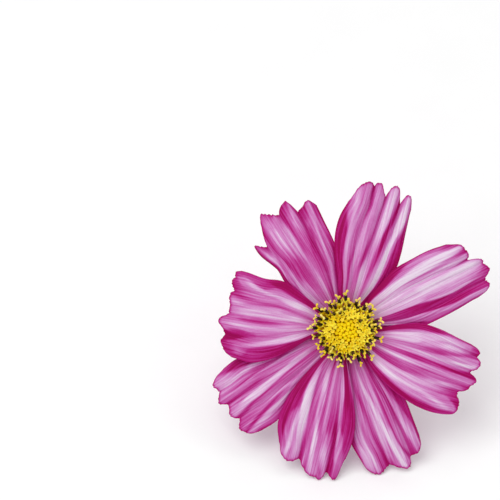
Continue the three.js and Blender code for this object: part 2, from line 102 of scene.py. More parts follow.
# The petals in order, clockwise from the top as seen from the front. toward is the direction of a petal's
# midline in degrees, rise the slope at its root in degrees, and pleat the height of its ridges. tuck says
# how far out its left and right margins lie under the next petals, 0 where they lie on top. left and right
# are half widths at the stations. ends are the places that shape its pleats, as (offset to the left, distance
# from the axis), from the left corner over lobe, notch, lobe and so on to the right corner. edge is the
# outline of its end in the same terms, a smooth stretch for each lobe. Each ends in a notch, and the next one
# goes on from there.
PETALS = [
    {
        "toward": 74, "rise": 11, "pleat": 1.2, "tuck": (0, 23),
        "left": [2.4, 4.6, 5.9, 8.2, 9.6, 9.7, 8.4],
        "right": [1.1, 3.6, 6.2, 8, 8.3, 7.9, 7.6],
        "ends": [(8.4, 33), (5.1, 38.5), (3, 37), (1.6, 39), (-0.4, 36), (-2.2, 39.6), (-4.6, 34.8),
                 (-6.1, 38.2), (-7.6, 35.5)],
        "edge": [
            [(8.4, 32.4), (7.9, 34), (7.2, 36), (6.4, 37.4), (5.4, 38.4), (4.6, 38.8), (3.8, 38.5),
             (3.1, 37.8)],
            [(2.7, 38.7), (2.1, 39.2), (1.3, 38.9), (0.4, 37.3), (-0.4, 36)],
            [(-0.9, 37.6), (-1.5, 39), (-2.2, 39.6), (-3, 39.4), (-3.6, 38.4), (-4, 36.9), (-4.5, 35)],
            [(-5, 36.4), (-5.5, 37.7), (-6.1, 38.2), (-6.8, 37.8), (-7.2, 36.7), (-7.55, 34.8)],
        ],
    },
    {
        "toward": 26, "rise": 12, "pleat": 0.9, "tuck": (0, 23),
        "left": [2.4, 5, 6.7, 8.7, 9.1, 9.2, 8.6],
        "right": [1.4, 3.9, 6.2, 7.8, 8, 7.8, 7.4],
        "ends": [(8.6, 33), (5, 37.5), (2.5, 36.3), (1.3, 39.3), (0.3, 39), (-2, 40.6), (-4.4, 38.2),
                 (-5.9, 39), (-7.1, 36)],
        "edge": [
            [(8.65, 33), (8.1, 34.1), (7.6, 35.2), (7.1, 36.1), (6.6, 36.7), (5.9, 37), (5, 37.1),
             (4.1, 37.4), (3.4, 37.1), (2.8, 36.6), (2.3, 36.4)],
            [(2, 37.6), (1.6, 39), (1.1, 39.8), (0.6, 40), (-0.1, 39.6)],
            [(-0.7, 40), (-1.5, 40.5), (-2, 40.6), (-2.6, 40.2), (-3.1, 39.4), (-3.7, 38.6), (-4.3, 38.3)],
            [(-4.9, 38.7), (-5.6, 38.8), (-6.3, 38.3), (-6.8, 37.4), (-7.1, 36.3), (-7.3, 34.6)],
        ],
    },
    {
        "toward": -21, "rise": 13, "pleat": 0.8, "tuck": (0, 0),
        "left": [1.3, 4.1, 6.6, 8.6, 8.9, 8.4, 8],
        "right": [2.6, 6.1, 8.5, 10.5, 11.7, 11.9, 11],
        "ends": [(8.1, 31.8), (6.9, 34.5), (5.7, 34), (4, 36), (1.2, 34.1), (-0.3, 36.3), (-4.9, 32.7),
                 (-8.2, 34.7), (-11.3, 31.5)],
        "edge": [
            [(8.1, 31.6), (7.8, 33), (7.4, 34), (6.9, 34.5), (6.2, 34.4), (5.6, 34.2)],
            [(5.1, 35), (4.6, 35.5), (4.1, 35.8), (3.4, 35.8), (2.8, 35.4), (2.2, 34.7), (1.7, 34.2),
             (1.2, 34)],
            [(0.9, 34.4), (0.6, 35.2), (0.2, 35.9), (-0.5, 36.2), (-1.2, 36), (-1.8, 35.5), (-2.6, 35.3),
             (-3.3, 34.9), (-3.9, 34.1), (-4.3, 33.3), (-4.8, 32.7)],
            [(-5.5, 33), (-6.4, 33.7), (-7.3, 34.2), (-8.3, 34.4), (-9.4, 34.3), (-10.2, 33.8),
             (-10.8, 32.8), (-11.3, 31)],
        ],
    },
    {
        "toward": -68, "rise": 10.5, "pleat": 0.9, "tuck": (24, 28),
        "left": [1.6, 3.8, 5.2, 6.9, 7.6, 7.5, 7.4],
        "right": [1.8, 4, 5.6, 7.4, 8.9, 9.8, 9.1],
        "ends": [(7.2, 33.8), (5, 36.8), (3.4, 36.2), (1.3, 39.6), (-2.6, 36.7), (-5.8, 38.2), (-9, 33.2)],
        "edge": [
            [(7.3, 32.4), (7.15, 34), (6.8, 35.1), (6.3, 36), (5.7, 36.5), (4.9, 36.8), (4.2, 36.9),
             (3.5, 36.7)],
            [(3.1, 37.2), (2.9, 38), (2.5, 38.9), (2, 39.4), (1.3, 39.5), (0.6, 39.1), (-0.1, 38.6),
             (-0.9, 38.1), (-1.7, 37.3), (-2.5, 36.8)],
            [(-3.2, 37.1), (-4, 37.4), (-4.8, 37.9), (-5.6, 38.1), (-6.6, 37.9), (-7.4, 37.4), (-8.1, 36.5),
             (-8.6, 35.4), (-8.9, 34.2), (-9.1, 32.6)],
        ],
    },
    {
        "toward": -104, "rise": 12, "pleat": 0.8, "tuck": (0, 0),
        "left": [1.3, 2.6, 4.4, 6.5, 8.1, 8.5, 7.8],
        "right": [2.5, 4.8, 7.2, 9.6, 11, 11.3, 9.6],
        "ends": [(7.5, 35), (6.1, 38.5), (4, 37.2), (2.3, 39.5), (-3.8, 35.3), (-5.8, 36.7), (-10.6, 31)],
        "edge": [
            [(7.7, 32.4), (7.4, 34), (7.15, 36), (6.95, 37.3), (6.7, 38.1), (6.3, 38.5), (5.8, 38.5),
             (5.2, 38), (4.6, 37.4), (4, 37)],
            [(3.6, 37.4), (3.4, 38.1), (3.1, 38.9), (2.7, 39.4), (2.2, 39.5), (1.6, 39.1), (1, 39.1),
             (0.4, 39), (-0.3, 38.8), (-1.1, 38.4), (-1.9, 37.7), (-2.7, 36.8), (-3.3, 35.9), (-3.9, 35.4)],
            [(-4.5, 35.8), (-5.2, 36.3), (-6, 36.6), (-6.8, 36.6), (-7.7, 36.1), (-8.5, 35.3), (-9.1, 34.2),
             (-9.6, 32.4)],
        ],
    },
    {
        "toward": -146, "rise": 10.5, "pleat": 0.7, "tuck": (28, 27),
        "left": [1.8, 3.6, 5, 6.4, 8, 9.5, 9.4],
        "right": [1.6, 3.8, 5.2, 6.4, 8, 9.7, 9.3],
        "ends": [(9.2, 33.6), (6.3, 36.8), (3.6, 35.5), (1.6, 37.2), (-0.8, 36.1), (-2.7, 37.6), (-5.1, 36),
                 (-7, 36.9), (-9.1, 33.5)],
        "edge": [
            [(9.4, 32.8), (9.15, 34), (8.8, 35), (8.3, 35.8), (7.6, 36.5), (6.9, 37), (6.2, 37.3),
             (5.5, 37.2), (4.9, 36.9), (4.3, 36.2), (3.7, 35.7)],
            [(3.3, 36.1), (2.9, 36.7), (2.4, 37.2), (1.7, 37.4), (1, 37.3), (0.4, 37), (-0.1, 36.6),
             (-0.7, 36.3)],
            [(-1.2, 36.6), (-1.7, 37.2), (-2.2, 37.9), (-2.8, 38.1), (-3.4, 37.7), (-4.1, 37.2),
             (-4.7, 36.6), (-5.1, 36.2)],
            [(-5.7, 36.5), (-6.4, 36.7), (-7, 36.9), (-7.6, 36.6), (-8.1, 36), (-8.5, 35.2), (-8.9, 34.2),
             (-9.3, 32)],
        ],
    },
    {
        "toward": 171, "rise": 12, "pleat": 0.7, "tuck": (0, 0),
        "left": [1.5, 3.6, 6.9, 10.3, 12.1, 11.6, 11],
        "right": [2.5, 5.2, 7.5, 9.9, 9.9, 10.8, 11],
        "ends": [(11.5, 28.4), (7.9, 31.5), (6.2, 30.7), (2.5, 33), (0.2, 30.8), (-3.4, 31.3), (-5.7, 30.1),
                 (-8.2, 31), (-11, 29.2)],
        "edge": [
            [(11.4, 28.2), (11.1, 29.1), (10.7, 29.8), (10, 30.5), (9.2, 31.1), (8.6, 31.5), (7.9, 31.7),
             (7.2, 31.5), (6.6, 31.2), (6, 31)],
            [(5.4, 31.2), (4.7, 31.6), (4, 32.2), (3.4, 32.8), (2.6, 33.1), (1.9, 32.9), (1.4, 32.2),
             (0.9, 31.3), (0.2, 30.7)],
            [(-0.5, 30.8), (-1.5, 30.9), (-2.5, 31), (-3.4, 31.2), (-4.3, 31.3), (-4.9, 31.1), (-5.2, 30.7),
             (-5.6, 30.2)],
            [(-6.2, 30.6), (-6.9, 31), (-7.6, 31.3), (-8.2, 31.3), (-8.6, 31), (-9, 30.5)],
            [(-9.5, 30.7), (-10.2, 30.7), (-10.6, 30.4), (-10.9, 29.2)],
        ],
    },
    {
        "toward": 121, "rise": 10, "pleat": 1.2, "tuck": (22, 26),
        "left": [1.5, 3.9, 5.6, 7.2, 7.3, 9, 9.4],
        "right": [1.7, 4, 6.4, 8.6, 9.4, 9.8, 10.2],
        "ends": [(9.6, 28.8), (8.9, 30.8), (6.5, 28.8), (3.1, 37.3), (-0.3, 34), (-3.3, 36.5), (-5, 31.3),
                 (-8.6, 34.1), (-10.4, 31.2)],
        "edge": [
            [(9.35, 29.2), (9.25, 30.2), (9, 31), (8.6, 30.7), (8.1, 30.2), (7.5, 29.6), (6.9, 29.2),
             (6.3, 29)],
            [(6.1, 30.6), (5.8, 31.8), (5.4, 33), (4.9, 34.6), (4.3, 36), (3.7, 37), (3.2, 37.4)],
            [(2.9, 36.9), (2.5, 36.7), (2.2, 36.3), (1.7, 36.1), (1.4, 35.7), (0.9, 35.5), (0.5, 35.1),
             (-0.1, 34.9), (-0.6, 34.7)],
            [(-1.2, 35.5), (-1.8, 36.1), (-2.5, 36.5), (-3.2, 36.8), (-3.8, 36.7), (-4.2, 35.9),
             (-4.6, 34.6), (-5.1, 32.6)],
            [(-5.6, 32.9), (-6.3, 33.1), (-7, 33.4), (-7.8, 33.8), (-8.5, 34), (-9, 33.8), (-9.5, 33),
             (-9.9, 31.8)],
        ],
    },
]

# How each petal is painted, all in hundredths: its tone at the root, halfway and at the end, and then its
# stripes. Each stripe is a brush stroke through points (s, v, half width, tone). s runs from 0 at the root to
# 100 at the end, and v from 100 at the left margin to -100 at the right. A tone is 0 in the palest stripe and
# 100 in the darkest margin.
# The darkest margins are the petals' own crimson deepened with painted shade, where a margin turns down away
# from the light.
PAINT = [
    ((52, 50, 45), [
        [(0, 100, 27, 100), (30, 100, 27, 100), (50, 100, 30, 98), (60, 100, 30, 95), (70, 100, 22, 92),
         (80, 100, 13, 90), (90, 100, 8, 80)],
        [(10, 66, 5, 50), (20, 68, 5, 45), (35, 67, 4.5, 40), (50, 63, 4.5, 33), (65, 64, 4.5, 28),
         (75, 68, 5, 25), (85, 74, 7, 25), (95, 78, 9, 33), (100, 80, 10, 50)],
        [(10, 57.5, 5.5, 72), (20, 57, 5.5, 76), (30, 53, 5.5, 78), (40, 46, 5, 72), (50, 43, 5, 60),
         (60, 41, 6, 60), (70, 37, 5, 62), (80, 33, 5, 78), (90, 36, 6, 88), (100, 38, 6, 95)],
        [(15, 46, 5, 38), (30, 42, 5, 36), (40, 34, 6.5, 34), (50, 29, 8, 30), (60, 28, 6, 30),
         (70, 27, 5, 38), (80, 15, 9, 42), (90, 12, 11, 36)],
        [(10, 27, 7, 62), (20, 26, 7.5, 68), (30, 20, 7, 72), (36, 14.5, 5.5, 76), (45, 9, 4.5, 85),
         (55, 5, 4, 85), (70, 1, 3.5, 76), (80, -1, 4, 80), (90, -5, 6, 75), (100, -8, 7, 85)],
        [(10, -1, 13, 26), (20, -1, 13, 18), (30, -0.5, 12, 16), (40, -4, 9, 28), (50, -11, 8, 36),
         (60, -17, 9, 22), (70, -23, 11, 14), (80, -27, 12, 12), (90, -29, 11, 16), (100, -31, 11, 30)],
        [(10, -21, 4.5, 65), (20, -20.5, 4.5, 70), (30, -22.5, 5, 78), (40, -27, 7, 82), (50, -31, 7, 88),
         (60, -36, 7, 86), (70, -44, 5.5, 90), (80, -50.5, 5.5, 94), (90, -55.5, 6, 100),
         (100, -59, 7, 100)],
        [(10, -38, 8, 32), (30, -38, 7, 30), (42, -40, 5, 42)],
        [(10, -53, 10, 12), (30, -52, 10, 12), (40, -52, 8, 6), (50, -54, 7, 4), (60, -59, 7, 5),
         (70, -70, 11, 10), (80, -78, 13, 12), (90, -86, 11, 18), (100, -90, 10, 35)],
        [(45, -40, 2.5, 45), (55, -44, 3, 58), (65, -49, 3, 62), (75, -56, 3.5, 60), (85, -61, 4.5, 60),
         (95, -67, 6, 65), (100, -69, 7, 75)],
        [(0, -100, 34, 100), (20, -100, 34, 100), (30, -100, 34, 100), (40, -100, 33, 100),
         (50, -100, 30, 97), (60, -100, 24, 93), (70, -100, 13, 92), (80, -100, 7, 90), (95, -100, 5, 60)],
    ]),
    ((16, 18, 30), [
        [(10, 66, 12, 18), (30, 60, 12, 4), (50, 57, 10, 3), (70, 64, 10, 3), (85, 71, 10, 4),
         (100, 74, 8, 25)],
        [(60, 82, 5, 30), (70, 85, 5.5, 36), (80, 87, 5, 48), (90, 87, 6, 65), (100, 90, 12, 80)],
        [(15, 80, 6, 60), (30, 77, 7, 55), (42, 76, 8, 52), (52, 81, 8, 46), (65, 89, 7, 40),
         (80, 93, 5, 45)],
        [(0, 100, 19, 100), (30, 100, 22, 100), (42, 100, 18, 100), (55, 100, 9, 90), (65, 100, 5, 70),
         (75, 100, 3, 60), (90, 100, 4, 70)],
        [(10, 44, 5, 32), (30, 40, 5, 25), (50, 43, 6, 46), (70, 45, 6, 50), (85, 52, 6, 50),
         (100, 58, 8, 85)],
        [(40, 22, 3, 24), (70, 22, 3, 36), (80, 25, 3, 45), (90, 27, 4, 68), (100, 31, 6, 80)],
        [(50, 10, 10, 5), (90, 13, 10, 8)],
        [(50, -21, 7, 35), (60, -27, 8, 36), (80, -28, 10, 34), (90, -20, 10, 42), (100, -12, 12, 60)],
        [(88, -33, 6, 55), (94, -28, 10, 68), (100, -24, 20, 85)],
        [(10, -38, 16, 78), (30, -41, 18, 86), (40, -43, 17, 92), (50, -50, 17, 95), (60, -57, 17.5, 94),
         (70, -62, 18, 92), (80, -62.5, 20, 88), (90, -60, 22, 82), (100, -58, 24, 84)],
        [(50, -100, 12, 70), (80, -100, 8, 60), (100, -100, 8, 65)],
        [(25, -74, 6, 58), (40, -78, 8, 62), (55, -86, 8, 60), (65, -92, 6, 55)],
        [(10, -63, 6, 50), (30, -64, 5, 45), (40, -66.5, 4.5, 40), (50, -71, 4.5, 44), (60, -78, 4.5, 44),
         (70, -84, 5, 44), (85, -87, 7, 40), (100, -92, 9, 45)],
        [(0, -100, 24, 100), (30, -100, 25, 100), (36, -100, 20, 100), (42, -100, 14, 95),
         (48, -100, 8, 80)],
    ]),
    ((45, 40, 45), [
        [(10, 50, 10, 42), (20, 55, 13, 18), (30, 53, 15, 12), (40, 57, 17, 12), (50, 66, 12, 20),
         (60, 74, 9, 18), (70, 82, 8, 18), (80, 80, 12, 25), (90, 86, 10, 32), (100, 90, 8, 60)],
        [(50, 50, 6, 30), (60, 57, 7, 33), (70, 64, 6, 17), (80, 70, 6, 22)],
        [(10, 72, 6, 50), (30, 75, 5, 42), (45, 79, 5, 36)],
        [(0, 100, 24, 100), (30, 100, 21, 100), (50, 100, 18, 97), (60, 100, 13, 95), (70, 100, 7, 80)],
        [(90, 80, 5, 50), (95, 82, 12, 72), (100, 82, 16, 85)],
        [(10, 30, 10, 53), (30, 31, 6, 50), (45, 30, 6, 54), (55, 35, 8, 66), (65, 40, 9, 76),
         (72, 46, 7, 70), (80, 54, 5, 74), (90, 63, 5, 78), (100, 70, 8, 85)],
        [(15, 17, 5, 38), (35, 16, 5, 28), (60, 19, 5, 25), (75, 22, 5, 20), (90, 30, 6, 14),
         (100, 38, 6, 25)],
        [(10, 0, 6, 60), (30, 0, 6, 73), (45, 0, 7, 86), (70, 0, 6.5, 88), (85, 2, 6, 92),
         (100, 5, 10, 95)],
        [(10, -34, 12, 80), (30, -34, 12, 72), (42, -35, 10, 70), (52, -34, 6, 70), (65, -35, 4, 50)],
        [(40, -25, 5, 60), (55, -22, 6, 66), (70, -20, 7, 58), (85, -23, 5, 66), (100, -26, 6, 85)],
        [(10, -15, 5, 35), (30, -14, 5, 17), (45, -12, 5, 22), (60, -10, 4.5, 33), (90, -10, 4, 45)],
        [(70, -35, 4, 35), (80, -34, 4.5, 20), (90, -32, 4, 45)],
        [(15, -55, 8, 30), (30, -53, 7, 30), (50, -50, 6, 26), (65, -46, 7, 27), (75, -42, 6, 32)],
        [(80, -40, 3, 55), (90, -41, 4, 82), (100, -43, 8, 95)],
        [(45, -58, 4, 38), (60, -60, 4, 40), (75, -58, 5, 48), (87, -52, 7, 66), (94, -57, 14, 80),
         (100, -60, 22, 92)],
        [(10, -70, 8, 28), (20, -70, 8, 12), (32, -70, 7, 8), (45, -68, 5, 20), (60, -66, 3.5, 17),
         (72, -70, 4, 18), (82, -76, 4, 15), (95, -86, 5, 45)],
        [(0, -100, 18, 100), (30, -100, 16, 97), (50, -100, 15, 100), (70, -100, 15, 98),
         (85, -100, 11, 95), (100, -100, 12, 80)],
    ]),
    ((62, 50, 45), [
        [(0, 100, 50, 100), (40, 100, 43, 93), (50, 100, 38, 86), (60, 100, 28, 82), (70, 100, 17, 86),
         (80, 100, 10, 90), (100, 100, 6, 85)],
        [(60, 68, 6, 62), (70, 70, 8, 48), (80, 70, 10, 28), (90, 78, 10, 33), (100, 80, 10, 50)],
        [(10, 50, 20, 95), (20, 45, 20, 86), (30, 40, 16, 78), (45, 42, 10, 85), (60, 44, 9, 84),
         (70, 48, 8, 78), (80, 53, 8, 72), (100, 60, 12, 84)],
        [(30, 48, 4, 65), (40, 50, 5, 50), (55, 56, 6, 36), (70, 61, 6, 28), (80, 67, 6, 27)],
        [(45, 28, 5, 62), (60, 29, 5, 56), (70, 33, 6, 44), (80, 40, 5, 45), (90, 45, 4, 55)],
        [(15, 20, 7, 70), (40, 17, 5, 78), (55, 17, 4.5, 82), (70, 20, 4, 78), (80, 25, 3.5, 80),
         (90, 35, 3.5, 86), (100, 44, 5, 90)],
        [(70, 10, 6, 25), (80, 13, 6, 22), (90, 20, 7, 25)],
        [(20, 2, 5, 46), (30, 0, 5, 37), (40, 3, 5, 36), (50, 3, 5, 36)],
        [(50, -24, 8, 38), (70, -18, 8, 26), (85, -20, 8, 38)],
        [(14, -30, 5, 50), (30, -24, 6, 27), (40, -16, 7, 20), (50, -10, 7, 13), (60, -7, 6, 7),
         (70, -4, 6, 3), (80, 0, 7, 0), (90, 6, 8, 0), (100, 14, 10, 8)],
        [(20, -60, 6, 70), (30, -55, 6, 73), (40, -47, 6, 75), (50, -41, 6, 72), (65, -38, 5, 72),
         (80, -36, 5, 85), (100, -35, 7, 95)],
        [(60, -58, 5, 60), (75, -52, 4, 62), (85, -50, 5, 75), (100, -47, 6, 90)],
        [(91, -20, 4, 50), (96, -21, 8, 72), (100, -22, 12, 85)],
        [(80, -82, 6, 25), (92, -87, 10, 25), (100, -85, 12, 50)],
        [(35, -70, 4, 52), (50, -70, 5, 42), (65, -69, 4, 26), (80, -70, 5, 17), (90, -72, 8, 27)],
        [(0, -100, 30, 100), (50, -100, 20, 95), (80, -100, 8, 90), (95, -100, 3, 50)],
    ]),
    ((55, 58, 50), [
        [(20, 88, 5, 68), (30, 87, 8, 82), (40, 86, 11, 86), (50, 85, 14, 88)],
        [(0, 77, 22, 100), (12, 75, 17, 100), (20, 75, 12.5, 100), (30, 73, 10.5, 100), (40, 70, 11, 98),
         (50, 72, 13, 90)],
        [(45, 100, 42, 90), (60, 100, 44, 86), (70, 100, 28, 82), (80, 100, 15, 75), (90, 100, 7, 60)],
        [(70, 62, 8, 50), (80, 66, 8, 40), (90, 75, 10, 57), (100, 85, 10, 70)],
        [(10, 49, 9, 55), (20, 51, 9.5, 42), (30, 51, 9, 34), (40, 50, 7, 34), (50, 47, 6, 36),
         (60, 47.5, 5, 40), (68, 51, 5, 40), (75, 56, 6, 42), (82, 63, 6, 38)],
        [(10, 21, 8, 72), (30, 23, 8, 64), (40, 23, 8, 70), (50, 25, 10, 80), (60, 26, 12, 82),
         (68, 30, 10, 65)],
        [(35, 39, 4, 60), (50, 39, 4, 78), (60, 41, 5, 92), (70, 45, 6, 90), (80, 51, 8, 90),
         (90, 57, 11, 90), (100, 58, 13, 95)],
        [(70, 20, 6, 48), (80, 24, 10, 25), (88, 28, 9, 38), (95, 30, 6, 70)],
        [(10, 2, 5, 35), (30, 2, 6, 40), (60, 4, 5, 45)],
        [(10, -15, 6, 85), (20, -11, 5, 72), (30, -7, 4.5, 68), (50, -3, 3.5, 75), (60, -2, 3.5, 74),
         (70, 1, 4, 62), (85, 2, 4, 55)],
        [(30, -37, 4, 50), (40, -32, 5, 58), (50, -28, 6, 64), (60, -24.5, 5, 72), (70, -25, 5, 63),
         (80, -20, 4, 58), (90, -20, 5, 58), (100, -17, 6, 75)],
        [(14, -62, 5, 72), (20, -56.5, 5, 68), (30, -48, 3.5, 74), (40, -41.5, 3.2, 78), (50, -38, 3.2, 80),
         (60, -34, 4, 76), (70, -30, 4.5, 78), (80, -32, 5, 86), (90, -36, 6, 88), (100, -37, 7, 95)],
        [(14, -33, 7, 48), (20, -29, 8, 30), (30, -23, 8, 20), (40, -18, 7, 30), (50, -17.5, 4, 28),
         (60, -14.5, 4, 26), (70, -10, 5, 15), (80, -10, 5, 14), (90, -8, 5, 24), (100, -5, 5, 45)],
        [(14, -72, 6, 50), (20, -67, 7, 34), (30, -61.5, 9, 20), (40, -57, 9.5, 13), (50, -52, 9.5, 10),
         (60, -49, 10, 10), (70, -47, 10, 14), (80, -48, 9, 20), (90, -52, 8, 30), (100, -54, 8, 50)],
        [(52, -70, 7, 80), (58, -70, 9, 66), (66, -70, 7, 62), (72, -72, 5, 62)],
        [(60, -62, 3, 38), (72, -65, 3.5, 22), (82, -70, 4.5, 16), (90, -77, 5, 20), (98, -83, 5, 40)],
        [(0, -100, 20, 100), (10, -100, 21, 100), (20, -100, 24, 100), (30, -100, 27.5, 100),
         (40, -100, 31.5, 98), (50, -100, 34, 93), (60, -100, 23, 92), (70, -100, 20, 90),
         (80, -100, 14, 85), (90, -100, 8, 80), (100, -100, 5, 70)],
    ]),
    ((58, 58, 50), [
        [(0, 100, 30, 100), (50, 100, 27, 95), (60, 100, 20, 90), (70, 100, 12, 85), (85, 100, 10, 78),
         (100, 100, 6, 60)],
        [(62, 82, 3, 80), (68, 84, 6, 65), (76, 88, 7, 60), (88, 93, 6, 55)],
        [(12, 47, 5, 30), (20, 49, 5.5, 33), (30, 51.5, 7, 34), (40, 55, 6, 26), (50, 48, 6, 35),
         (60, 42, 5, 40), (70, 40, 5, 45)],
        [(50, 56, 4, 55), (60, 54, 5, 72), (70, 55, 5.5, 85), (80, 62, 5.5, 85), (90, 73, 5, 85),
         (100, 80, 6, 90)],
        [(72, 42, 5, 52), (85, 48, 9, 62), (100, 55, 12, 72)],
        [(30, 52, 3, 42), (45, 61, 3, 40), (50, 66, 3.5, 30), (55, 68.5, 5, 22), (60, 70, 6.5, 20),
         (70, 68.5, 6.5, 22), (80, 75, 6, 28), (90, 82, 5, 38), (100, 88, 5, 50)],
        [(10, 0, 5, 85), (20, 1, 4, 75), (30, 5, 3.5, 68), (40, 9, 3.5, 70), (50, 13.5, 3.5, 78),
         (60, 17, 3.5, 82), (70, 20, 3.5, 82), (80, 22.5, 4, 86), (90, 31, 6, 82), (100, 37, 6, 90)],
        [(14, -23, 9, 44), (20, -18, 11, 28), (30, -13, 11, 22), (40, -6.5, 10, 16), (50, -1.5, 9.5, 10),
         (60, 2.5, 9, 10), (70, 6, 9, 8), (80, 8.5, 9, 10), (90, 14, 8, 25), (100, 18, 7, 50)],
        [(60, -22, 5, 62), (70, -16, 5, 80), (85, -15, 5, 82), (100, -12, 6, 90)],
        [(70, -33, 5, 44), (80, -33, 5, 37), (90, -34, 5, 34), (100, -33, 6, 50)],
        [(12, -45, 6, 50), (20, -52, 5, 45), (30, -53, 5, 42), (40, -51, 5, 42), (50, -45, 4, 42),
         (60, -39.5, 2, 42), (70, -34.5, 2, 38)],
        [(30, -62, 3, 62), (40, -57.5, 4, 80), (50, -52.5, 4.5, 82), (55, -49, 4, 82), (65, -42, 3, 82),
         (75, -38, 2.8, 82), (85, -37, 2.8, 72), (95, -38, 3, 62)],
        [(50, -56, 6, 80), (60, -53, 8, 78), (70, -51, 5, 66), (80, -51, 4, 62), (90, -54, 4, 55),
         (100, -56, 4, 75)],
        [(75, -45, 3, 50), (85, -46, 3.5, 36), (100, -45, 4.5, 30)],
        [(10, -66, 14, 62), (20, -68, 11, 58), (30, -65, 6, 70), (38, -63, 4, 78)],
        [(0, -100, 12, 100), (10, -100, 14, 100), (20, -100, 19, 100), (30, -100, 28, 95),
         (40, -100, 36, 90), (50, -100, 31, 92), (70, -100, 25, 95), (80, -100, 20, 95), (90, -100, 12, 80),
         (100, -100, 8, 70)],
        [(76, -68, 4, 45), (82, -70, 9, 36), (90, -73, 11, 34), (96, -76, 12, 42)],
        [(50, -68, 4.5, 38), (60, -68, 5, 22), (65, -66, 5, 20), (70, -62, 4.5, 20), (80, -60, 5, 18),
         (90, -64, 9, 22), (100, -66, 10, 40)],
    ]),
    ((45, 45, 50), [
        [(70, 80, 10, 76), (78, 78, 8, 66), (85, 76, 7, 60), (92, 80, 14, 80), (100, 80, 20, 92)],
        [(0, 84, 16, 100), (20, 87, 13, 100), (30, 86, 15, 100), (45, 85, 19, 93), (60, 87, 22, 86),
         (70, 90, 20, 82), (80, 98, 11, 88), (100, 100, 14, 92)],
        [(14, 62, 10, 44), (20, 60, 11, 28), (30, 57, 11, 18), (42, 57, 8, 18), (52, 58, 6, 20),
         (62, 60, 5, 26), (72, 63, 4.5, 36), (82, 69, 4.5, 50)],
        [(55, 50, 3, 45), (65, 52, 4, 55), (72, 55, 4.5, 58), (80, 59, 5.5, 64), (90, 65, 6, 70)],
        [(50, 44, 5, 50), (60, 44, 5, 62), (70, 44, 4.5, 80), (80, 46, 6, 92), (90, 52, 10, 98),
         (100, 55, 15, 100)],
        [(65, 40, 4, 60), (70, 40, 3, 80), (80, 40, 4, 92), (90, 42, 5, 90)],
        [(14, 37, 8, 70), (20, 37, 5, 52), (30, 36, 4, 42)],
        [(20, 27, 6, 36), (35, 23, 6, 25), (50, 25, 5, 25), (70, 26, 5, 26), (82, 26, 5, 25),
         (95, 28, 6, 45)],
        [(15, 10, 5, 60), (30, 7, 5, 58), (40, 10, 5, 58), (50, 11, 5, 74), (70, 11, 5, 80),
         (80, 11, 4, 76), (90, 6, 4, 66), (100, 5, 5, 95)],
        [(50, -20, 5, 31), (70, -20, 6, 32), (80, -20, 5, 36)],
        [(14, 2, 5, 44), (20, -6, 7, 28), (30, -8, 8, 15), (40, -6, 8, 20), (55, -5, 8, 22),
         (70, -8, 9, 22), (80, -6, 8, 22), (90, -4, 7, 32), (100, 0, 6, 50)],
        [(10, -24, 6, 80), (20, -27, 6, 68), (35, -30, 5, 64), (50, -33.5, 4.5, 70), (70, -35, 4.5, 70),
         (80, -36.5, 4.5, 80), (90, -40, 5, 85), (100, -47, 6, 92)],
        [(82, -25, 4, 40), (90, -25, 4, 25), (100, -28, 4, 30)],
        [(55, -100, 22, 85), (70, -90, 20, 78), (80, -95, 15, 70), (100, -95, 10, 75)],
        [(80, -55, 6, 50), (88, -56, 10, 62), (94, -60, 18, 76), (100, -62, 24, 88)],
        [(10, -52, 8, 28), (20, -55, 9, 18), (30, -54, 10, 10), (40, -53, 8, 12), (50, -55, 5, 16),
         (60, -60, 4.5, 22), (70, -68, 5, 28), (80, -74, 5, 24), (90, -83, 5, 50)],
        [(0, -94, 22, 100), (20, -91, 19, 100), (30, -89, 17, 97), (45, -91, 16, 100), (55, -93, 13, 100),
         (62, -100, 12, 100)],
    ]),
    ((55, 66, 45), [
        [(30, 20, 15, 70), (40, 25, 22, 78), (50, 28, 24, 78), (58, 30, 21, 72)],
        [(14, 42, 16, 48), (25, 46, 13, 42), (35, 48, 8, 46)],
        [(40, 47, 5, 76), (50, 47, 6, 87), (60, 54, 5, 82), (70, 55, 7, 64), (80, 58, 9, 67),
         (90, 57, 9, 68), (100, 55, 10, 80)],
        [(14, 65, 14, 38), (20, 68, 13, 28), (30, 69, 11, 26), (40, 67, 8, 24), (50, 63, 5.5, 28),
         (60, 66, 4.5, 36), (72, 67, 4, 45)],
        [(50, 80, 5, 50), (60, 83, 6, 42), (70, 87, 5, 42), (80, 86, 9, 29), (90, 80, 8, 34),
         (100, 82, 8, 60)],
        [(0, 100, 22, 100), (30, 100, 19, 95), (40, 100, 16, 97), (50, 100, 15, 98), (65, 100, 10, 90),
         (80, 100, 7, 85), (100, 100, 6, 75)],
        [(62, 40, 3, 50), (72, 39, 4, 35), (82, 40, 4, 33), (95, 40, 3, 58)],
        [(60, 25, 5, 48), (70, 26, 5, 22), (80, 26, 4, 22), (88, 27, 4, 50)],
        [(62, 10, 4, 45), (70, 11, 4, 31), (80, 14, 6, 36), (90, 17, 4, 38)],
        [(65, 0, 4, 45), (75, 0, 4, 34), (85, 1, 4, 30), (95, 2, 4, 50)],
        [(50, -25, 6, 70), (60, -20, 5, 80), (70, -19, 5, 78), (80, -16, 6, 76), (90, -14, 8, 84),
         (100, -12, 12, 92)],
        [(15, -11, 8, 40), (20, -12, 8, 34), (30, -12, 6.5, 33), (40, -11, 4.5, 38), (50, -9.5, 4, 38),
         (60, -6, 5, 30), (70, -5, 5, 25), (80, -4, 5, 34)],
        [(14, -40, 10, 78), (30, -42, 12, 70), (40, -42, 12, 78), (50, -40, 10, 82), (60, -45, 8, 86),
         (70, -50, 8, 88), (80, -52, 8, 86), (90, -50, 9, 90), (100, -48, 12, 100)],
        [(65, -33, 3, 60), (72, -34, 4, 45), (80, -31, 4, 28), (90, -34, 4, 33), (100, -36, 4, 60)],
        [(90, 75, 8, 50), (95, 78, 12, 70), (100, 80, 18, 85)],
